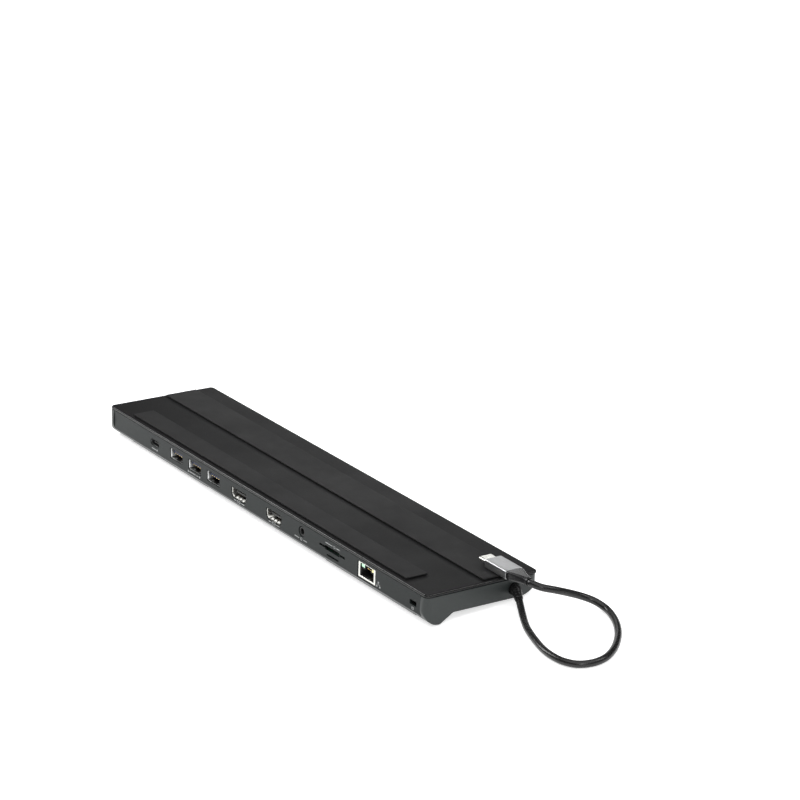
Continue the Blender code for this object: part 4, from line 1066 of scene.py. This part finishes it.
def make_screws():
    for k, centre in enumerate(SCREWS, 1):
        low, high = span(f"case_screw_{k}")
        mesh = screw_mesh(centre, low.z, low.z + 1.4, 2.1, high.z, 0.95, -1)
        piece(f"case_fixing_{k}", mesh, STEEL, [f"case_screw_{k}"])
    for k, centre in enumerate(BOARD_SCREWS, 1):
        low, high = span(f"board_screw_{k}")
        mesh = screw_mesh(centre, high.z - 1.1, high.z, 1.9, low.z, 0.6, 1)
        piece(f"board_fixing_{k}", mesh, STEEL, [f"board_screw_{k}"])


# ---------------------------------------------------------------- sockets


LEAF_LENGTH = 3.8
LEAF_HALF_SHEET = 0.07


def leaf(x, z, side, y_front, width, reach):
    """A spring leaf pressed inwards from a shell's top (+1) or bottom (-1) sheet."""
    rings = []
    steps = 10
    for k in range(steps + 1):
        t = k / steps
        y = y_front - LEAF_LENGTH * t
        dip = reach * math.sin(math.pi * min(1.0, t * 1.12) / 1.12 * 1.05)
        z_mid = z - side * max(0.0, dip)
        u = width / 2 * (1.0 - 0.25 * t)
        under, over = z_mid - LEAF_HALF_SHEET, z_mid + LEAF_HALF_SHEET
        rings.append([(x - u, y, under), (x + u, y, under), (x + u, y, over), (x - u, y, over)])
    return loft(rings)


def flared(shell, wide, inner, front):
    """A shell with its mouth opened out from the inner outline to the wide one at the front."""
    rings = [(wide, front + 0.2), (wide, front - 0.02), (inner, front - 0.5)]
    return cut(shell, loft([[(u, y, v) for u, v in outline] for outline, y in rings]))


def shell_with_leaves(outer, inner, wide, low, high, leaves):
    """A drawn shell with windows, each with a spring leaf: leaves are (x, side, setback, width, reach)."""
    shell = flared(slab([outer, inner], low.y, high.y, "XZ", 0.07, 2), wide, inner, high.y)
    bent = []
    for x, side, setback, width, reach in leaves:
        z = (high.z - 0.12) if side > 0 else (low.z + 0.12)
        half = width / 2 + 0.25
        front = high.y - setback
        window = block((x - half, front - 4.2, z - 0.4), (x + half, front, z + 0.4), 0.15, 2)
        shell = cut(shell, window)
        bent.append(leaf(x, z, side, front - 0.1, width, reach))
    return joined([shell, *bent])


def strips_mesh(xs, width, y_low, y_high, z_low, z_high):
    """Flat contacts side by side at xs."""
    edge = min(width, z_high - z_low) * 0.2
    bars = []
    for x in xs:
        bars.append(block((x - width / 2, y_low, z_low), (x + width / 2, y_high, z_high), edge, 2))
    return joined(bars)


def gold_piece(name, meshes, nodes=()):
    return piece(name, joined(meshes), GOLD, nodes)


def make_usb_c():
    low, high, at, width, height = socket_box("usb_c_shell")
    outer = rounded(width, height, height / 2 - 0.01, at, 14)
    inner = rounded(width - 0.6, height - 0.6, height / 2 - 0.31, at, 14)
    wide = rounded(width - 0.12, height - 0.12, height / 2 - 0.07, at, 14)
    shell = flared(slab([outer, inner], low.y, high.y, "XZ", 0.04, 2), wide, inner, high.y)
    piece("usb_c_port", shell, PORT_DEEP_PAINTED_SHADE, ["usb_c_shell"])
    piece("usb_c_core", refined("usb_c_tongue", 0.1, 3), BLACK, ["usb_c_tongue"])
    xs = row_of(at[0], 12, 0.5)
    tongue = span("usb_c_tongue")[1].y
    over = strips_mesh(xs, 0.26, tongue - 3.6, tongue - 0.5, at[1] + 0.33, at[1] + 0.42)
    under = strips_mesh(xs, 0.26, tongue - 3.6, tongue - 0.5, at[1] - 0.42, at[1] - 0.33)
    gold_piece("usb_c_contacts", [over, under])


def make_usb_a():
    for k in range(1, 4):
        low, high, at, width, height = socket_box(f"usb_a_shell_{k}")
        outer = rounded(width, height, 0.5, at, 5)
        inner = rounded(width - 0.6, height - 0.6, 0.3, at, 5)
        wide = rounded(width - 0.1, height - 0.1, 0.45, at, 5)
        leaves = [(at[0] + x, side, 1.0, 1.8, 0.4) for x in (-2.9, 2.9) for side in (-1, 1)]
        mesh = shell_with_leaves(outer, inner, wide, low, high, leaves)
        piece(f"usb_a_port_{k}", mesh, PORT_DEEP_PAINTED_SHADE, [f"usb_a_shell_{k}"])
        node = f"usb_a_tongue_{k}"
        piece(f"usb_a_core_{k}", refined(node, 0.12, 3), BLUE, [node])
        tongue = span(node)[1]
        under = tongue.z - 1.9
        wide_row, narrow_row = row_of(at[0], 4, 2.3), row_of(at[0], 5, 1.9)
        faces = (under - 0.1, under + 0.05)
        front_row = strips_mesh(wide_row, 1.0, tongue.y - 7.6, tongue.y - 0.9, *faces)
        back_row = strips_mesh(narrow_row, 0.5, tongue.y - 9.0, tongue.y - 7.9, *faces)
        tips = strips_mesh(wide_row, 0.8, tongue.y - 0.3, tongue.y + 0.05, under, under + 0.4)
        gold_piece(f"usb_a_contacts_{k}", [front_row, back_row, tips])


def make_displays():
    for k in range(1, 3):
        low, high, at, width, height = socket_box(f"display_shell_{k}")
        outer = d_shape(width, height, at, 0.0, 0.6)
        inner = d_shape(width, height, at, -0.3, 0.4)
        wide = d_shape(width, height, at, -0.05, 0.55)
        leaves = [(at[0] + x, 1, 1.4, 1.5, 0.35) for x in (-3.6, 3.6)]
        leaves += [(at[0] + x, -1, 0.5, 2.4, 0.75) for x in (-3.1, 0.0, 3.1)]
        mesh = shell_with_leaves(outer, inner, wide, low, high, leaves)
        piece(f"display_port_{k}", mesh, PORT, [f"display_shell_{k}"])
        node = f"display_tongue_{k}"
        piece(f"display_core_{k}", refined(node, 0.12, 3), BLACK, [node])
        front = span(node)[1].y
        along = (front - 4.6, front - 0.6)
        upper = strips_mesh(row_of(at[0], 10, 0.9), 0.35, *along, at[1] + 1.17, at[1] + 1.27)
        lower = strips_mesh(row_of(at[0], 9, 0.9), 0.35, *along, at[1] + 0.03, at[1] + 0.13)
        gold_piece(f"display_contacts_{k}", [upper, lower])


def make_jack():
    low, high = span("audio_jack_ring")
    centre = middle("audio_jack_ring")
    profile = [(1.75, high.y - 0.3), (1.87, high.y - 0.12), (2.1, high.y), (2.35, high.y)]
    profile.append((2.52, high.y - 0.07))
    profile += [(2.6, high.y - 0.25), (2.6, low.y), (1.75, low.y)]
    rings = []
    for radius, y in profile:
        rings.append([(centre.x + u, y, centre.z + v) for u, v in circle(radius, count=64)])
    piece("audio_ring", loft(rings, closed=True), BLACK, ["audio_jack_ring"])
    piece("audio_body", refined("audio_jack_body", 0.12, 2), BLACK, ["audio_jack_body"])


def make_card_sockets():
    for node, name, slot, material in (
        ("sd_socket_base", "sd_tray", "black_plastic", BLACK),
        ("sd_socket_shell", "sd_lid", "socket_metal", SHEET),
        ("micro_sd_socket_base", "micro_sd_tray", "black_plastic", BLACK),
        ("micro_sd_socket_shell", "micro_sd_lid", "socket_metal", SHEET),
    ):
        piece(name, refined(node, 0.06, 2), material, [node])
    low = span("sd_socket_base")[0]
    xs = row_of(SD_SLOT_AT[0], 9, 2.5)
    gold_piece("sd_contacts", [strips_mesh(xs, 0.9, low.y + 3.5, low.y + 9.5, low.z + 0.42, low.z + 0.62)])
    low, high = span("micro_sd_socket_base")
    xs = row_of(MICRO_SLOT_AT[0], 8, 1.1)
    contacts = strips_mesh(xs, 0.6, low.y + 2.0, low.y + 4.6, high.z - 0.55, high.z - 0.42)
    gold_piece("micro_sd_contacts", [contacts])
    for card, edge in (("sd", 0.15), ("micro_sd", 0.1)):
        node = f"{card}_ejector"
        slider = refined(node, edge, 3)
        piece(f"{card}_slider_block", slider, WHITE, [node], f"{card}_slider")


def make_spring(name, node, slider, radius, wire, turns):
    """A coil spring from the socket's back wall to its slider."""
    low = span(node)[0]
    centre = middle(node)
    end = span(slider)[0].y - 0.1
    length = end - low.y
    path = []
    steps = turns * 20
    for k in range(steps + 1):
        t = k / steps
        angle = 2 * math.pi * turns * t
        along = low.y + wire + (length - 2 * wire) * t
        path.append((centre.x + radius * math.cos(angle), along, centre.z + radius * math.sin(angle)))
    mesh = sweep(path, [wire] * len(path), count=8)
    obj = piece(name, mesh, STEEL, [node])
    obj.modifiers.clear()
    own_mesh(obj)


def make_network():
    low, high = span("network_shield")
    centre = middle("network_shield")
    width, height = high.x - low.x, high.z - low.z
    at = (centre.x, centre.z)
    outer = rounded(width, height, 0.35, at, 4)
    inner = rounded(width - 0.7, height - 0.7, 0.2, at, 4)
    window = rounded(12.9, 7.0, 0.35, (centre.x, centre.z + 0.35), 4)
    flange = slab([outer, window], high.y - 0.4, high.y, "XZ", 0.09, 3)
    sides = slab([outer, inner], low.y, high.y - 0.2, "XZ", 0.05, 2)
    shield = cut(flange, sides, "UNION")
    tabs = []
    for side in (-1, 1):
        x = centre.x + side * (width / 2 - 0.72)
        corner = (x - 0.36, high.y - 0.2, centre.z - 1.9)
        tabs.append(block(corner, (x + 0.36, high.y + 0.1, centre.z + 2.1), 0.12, 3))
    for x in (centre.x - 3.4, centre.x + 3.4):
        corner = (x - 1.1, high.y - 0.2, low.z + 0.3)
        tabs.append(block(corner, (x + 1.1, high.y + 0.09, low.z + 0.75), 0.1, 3))
    piece("network_can", joined([shield, *tabs]), SHEET, ["network_shield"])
    piece("network_core", refined("network_insert", 0.14, 3), BLACK, ["network_insert"])
    wires = []
    front = span("network_insert")[1].y
    bends = [(-10.6, 2.3), (-5.0, 2.1), (-2.0, 1.75), (-1.6, 1.2), (-2.6, 0.3), (-6.4, -2.2)]
    for x in row_of(centre.x, 8, 0.95):
        path = through([Vector((x, front + along, centre.z + up)) for along, up in bends], 5)
        wires.append(sweep(path, [0.2] * len(path), count=10))
    corner = (centre.x - 3.8, front - 11.2, centre.z + 1.7)
    wires.append(block(corner, (centre.x + 3.8, front - 10.2, centre.z + 2.7), 0.15, 2))
    gold_piece("network_wires", wires, ["network_contacts"])
    for node, name, slot, material in (
        ("link_lamp", "link_lens", "green_lamp", GREEN_LAMP),
        ("activity_lamp", "activity_lens", "amber_lamp", AMBER_LAMP),
    ):
        piece(name, refined(node, 0.22, 4), material, [node])


def make_lock():
    # The bracket's near-black tone is painted shade for the lock slot.
    piece("lock_plate", refined("lock_bracket", 0.15, 3), BRACKET_PAINTED_SHADE, ["lock_bracket"])


# ---------------------------------------------------------------- inside


def make_inside():
    for node, name, edge, slot, material in (
        ("main_board", "circuit_board", 0.08, "board", BOARD),
        ("hub_chip", "hub_package", 0.1, "black_plastic", BLACK),
        ("display_chip", "display_package", 0.1, "black_plastic", BLACK),
        ("network_transformer", "transformer_package", 0.2, "black_plastic", BLACK),
        ("hub_thermal_pad", "hub_pad", 0.2, "thermal_pad", PAD),
        ("display_thermal_pad", "display_pad", 0.2, "thermal_pad", PAD),
        ("heat_spreader", "spreader_plate", 0.2, "aluminium", ALUMINIUM),
        ("cable_header", "header_block", 0.2, "white_plastic", WHITE),
    ):
        piece(name, refined(node, edge, 2), material, [node])
    lead = NODES["internal_lead"]
    lead.data.materials.clear()
    lead.data.materials.append(JACKET)
    lead.data.shade_smooth()


# ---------------------------------------------------------------- printed marks


def bar(x, z, width, height, radius=0.12):
    return [rounded(width, height, min(radius, width / 2 - 0.01, height / 2 - 0.01), (x, z), 4)]


def hoop(x, z, width, height, line, radius=0.3):
    outer = rounded(width, height, radius, (x, z), 5)
    inner = rounded(width - 2 * line, height - 2 * line, max(radius - line, 0.05), (x, z), 5)
    return [outer, inner]


def mark_shapes():
    """Generic printed signs beside the sockets: bars, frames and dots, no letters."""
    shapes = []
    usb_c = middle("usb_c_shell")
    shapes.append(bar(usb_c.x + 1.1, 6.9, 4.6, 0.4))
    shapes.append(bar(usb_c.x - 2.6, 6.9, 1.2, 1.2, 0.59))
    usb = middle("usb_a_shell_2")
    shapes.append(bar(usb.x + 2.4, 6.3, 6.8, 0.42))
    shapes.append(bar(usb.x - 3.0, 6.3, 2.2, 0.42))
    shapes.append(bar(usb.x + 7.0, 6.3, 1.1, 1.1, 0.54))
    shapes.append(bar(usb.x - 5.6, 6.3, 1.0, 1.0, 0.1))
    for k in (1, 2):
        port = middle(f"display_shell_{k}")
        shapes.append(hoop(port.x, 6.05, 3.4, 1.3, 0.28))
        shapes.append(bar(port.x - 4.4, 6.0, 3.2, 0.4))
        shapes.append(bar(port.x + 3.9, 6.0, 2.2, 0.4))
    jack = middle("audio_jack_ring")
    shapes.append(bar(jack.x + 4.6, 6.9, 4.6, 0.4))
    shapes.append(hoop(jack.x + 0.2, 6.9, 1.7, 1.7, 0.3, 0.84))
    shapes.append(bar(jack.x - 3.6, 6.9, 3.6, 0.4))
    sd_x = SD_SLOT_AT[0]
    shapes.append(bar(sd_x + 3.1, 13.4, 6.6, 0.4))
    shapes.append(hoop(sd_x - 2.2, 13.4, 1.6, 1.2, 0.25))
    shapes.append(bar(sd_x - 5.6, 13.4, 3.4, 0.4))
    port = middle("network_shield")
    base_x, base_z = port.x - 11.4, 7.6
    shapes.append(bar(base_x, base_z + 1.2, 1.1, 0.9))
    shapes.append(bar(base_x - 1.4, base_z - 1.0, 1.1, 0.9))
    shapes.append(bar(base_x + 1.4, base_z - 1.0, 1.1, 0.9))
    shapes.append(bar(base_x, base_z + 0.1, 3.1, 0.2, 0.08))
    lock_x, lock_z = LOCK_AT
    shapes.append(hoop(lock_x + 0.2, lock_z - 2.95, 1.9, 1.3, 0.3))
    return shapes


def make_marks():
    meshes = [slab(loops, PANEL_Y, PANEL_Y + 0.02, "XZ") for loops in mark_shapes()]
    piece("printed_signs", joined(meshes), PRINT)


# ---------------------------------------------------------------- floor and light


def make_floor():
    shape = bmesh.new()
    corners = [shape.verts.new((x * 12.0, y * 12.0, 0.0)) for x, y in ((-1, -1), (1, -1), (1, 1), (-1, 1))]
    shape.faces.new(corners)
    mesh = bpy.data.meshes.new("floor")
    shape.to_mesh(mesh)
    shape.free()
    graph = Graph("floor_paper")
    tone = graph.mixed(graph.noise(3.0, 2.0), (0.90, 0.90, 0.90), (0.93, 0.93, 0.93))
    graph.link(tone, graph.shader.inputs["Base Color"])
    graph.shader.inputs["Roughness"].default_value = 0.9
    graph.shader.inputs["Specular IOR Level"].default_value = 0.1
    graph.shader.inputs["Emission Color"].default_value = (1.0, 1.0, 1.0, 1.0)
    graph.shader.inputs["Emission Strength"].default_value = 0.62
    mesh.materials.append(graph.material)
    floor = bpy.data.objects.new("floor", mesh)
    bpy.context.scene.collection.objects.link(floor)
    floor.location.z = -0.0002


def area_light(name, location, target, size, power, size_y=None):
    data = bpy.data.lights.new(name, "AREA")
    data.shape = "RECTANGLE"
    data.size = size
    data.size_y = size_y or size
    data.energy = power
    light = bpy.data.objects.new(name, data)
    bpy.context.scene.collection.objects.link(light)
    light.location = location
    light.rotation_euler = (Vector(target) - Vector(location)).to_track_quat("-Z", "Y").to_euler()
    light.visible_camera = False


def sun_light(name, direction, strength, spread):
    data = bpy.data.lights.new(name, "SUN")
    data.energy = strength
    data.angle = math.radians(spread)
    light = bpy.data.objects.new(name, data)
    bpy.context.scene.collection.objects.link(light)
    light.rotation_euler = (-Vector(direction)).to_track_quat("-Z", "Y").to_euler()


def make_world():
    """A dim grey room, with a white wall where the camera looks past the floor."""
    world = bpy.data.worlds.new("studio")
    bpy.context.scene.world = world
    world.use_nodes = True
    tree = world.node_tree
    room = tree.nodes["Background"]
    room.inputs["Color"].default_value = (1.0, 1.0, 1.0, 1.0)
    room.inputs["Strength"].default_value = 0.07
    wall = tree.nodes.new("ShaderNodeBackground")
    wall.inputs["Color"].default_value = (1.0, 1.0, 1.0, 1.0)
    wall.inputs["Strength"].default_value = 1.0
    path = tree.nodes.new("ShaderNodeLightPath")
    mix = tree.nodes.new("ShaderNodeMixShader")
    tree.links.new(path.outputs["Is Camera Ray"], mix.inputs["Fac"])
    tree.links.new(room.outputs[0], mix.inputs[1])
    tree.links.new(wall.outputs[0], mix.inputs[2])
    tree.links.new(mix.outputs[0], tree.nodes["World Output"].inputs["Surface"])


def make_light():
    make_world()
    sun_light("overhead", (-0.18, 0.10, 1.0), 2.0, 86.0)
    area_light("socket_side", (0.52, 0.29, 0.46), (-0.09, 0.034, 0.015), 0.20, 2.8, size_y=0.5)
    area_light("near_end", (-0.85, 0.36, 0.42), (0.0, 0.034, 0.012), 0.25, 1.6)
    area_light("end_edge", (-0.55, -0.50, 0.60), (0.02, 0.03, 0.017), 0.22, 1.0)
    area_light("far_front", (0.485, -0.39, 0.23), (-0.10, 0.025, 0.018), 0.30, 0.4)
    bpy.context.scene.view_settings.view_transform = "Standard"


make_cover()
make_case()
make_panel()
make_strips()
make_pads()
make_screws()
make_usb_c()
make_usb_a()
make_displays()
make_jack()
make_card_sockets()
make_spring("sd_return_spring", "sd_spring", "sd_ejector", 0.42, 0.08, 5)
make_spring("micro_sd_return_spring", "micro_sd_spring", "micro_sd_ejector", 0.24, 0.05, 5)
make_network()
make_lock()
make_inside()
make_marks()
make_floor()
make_light()
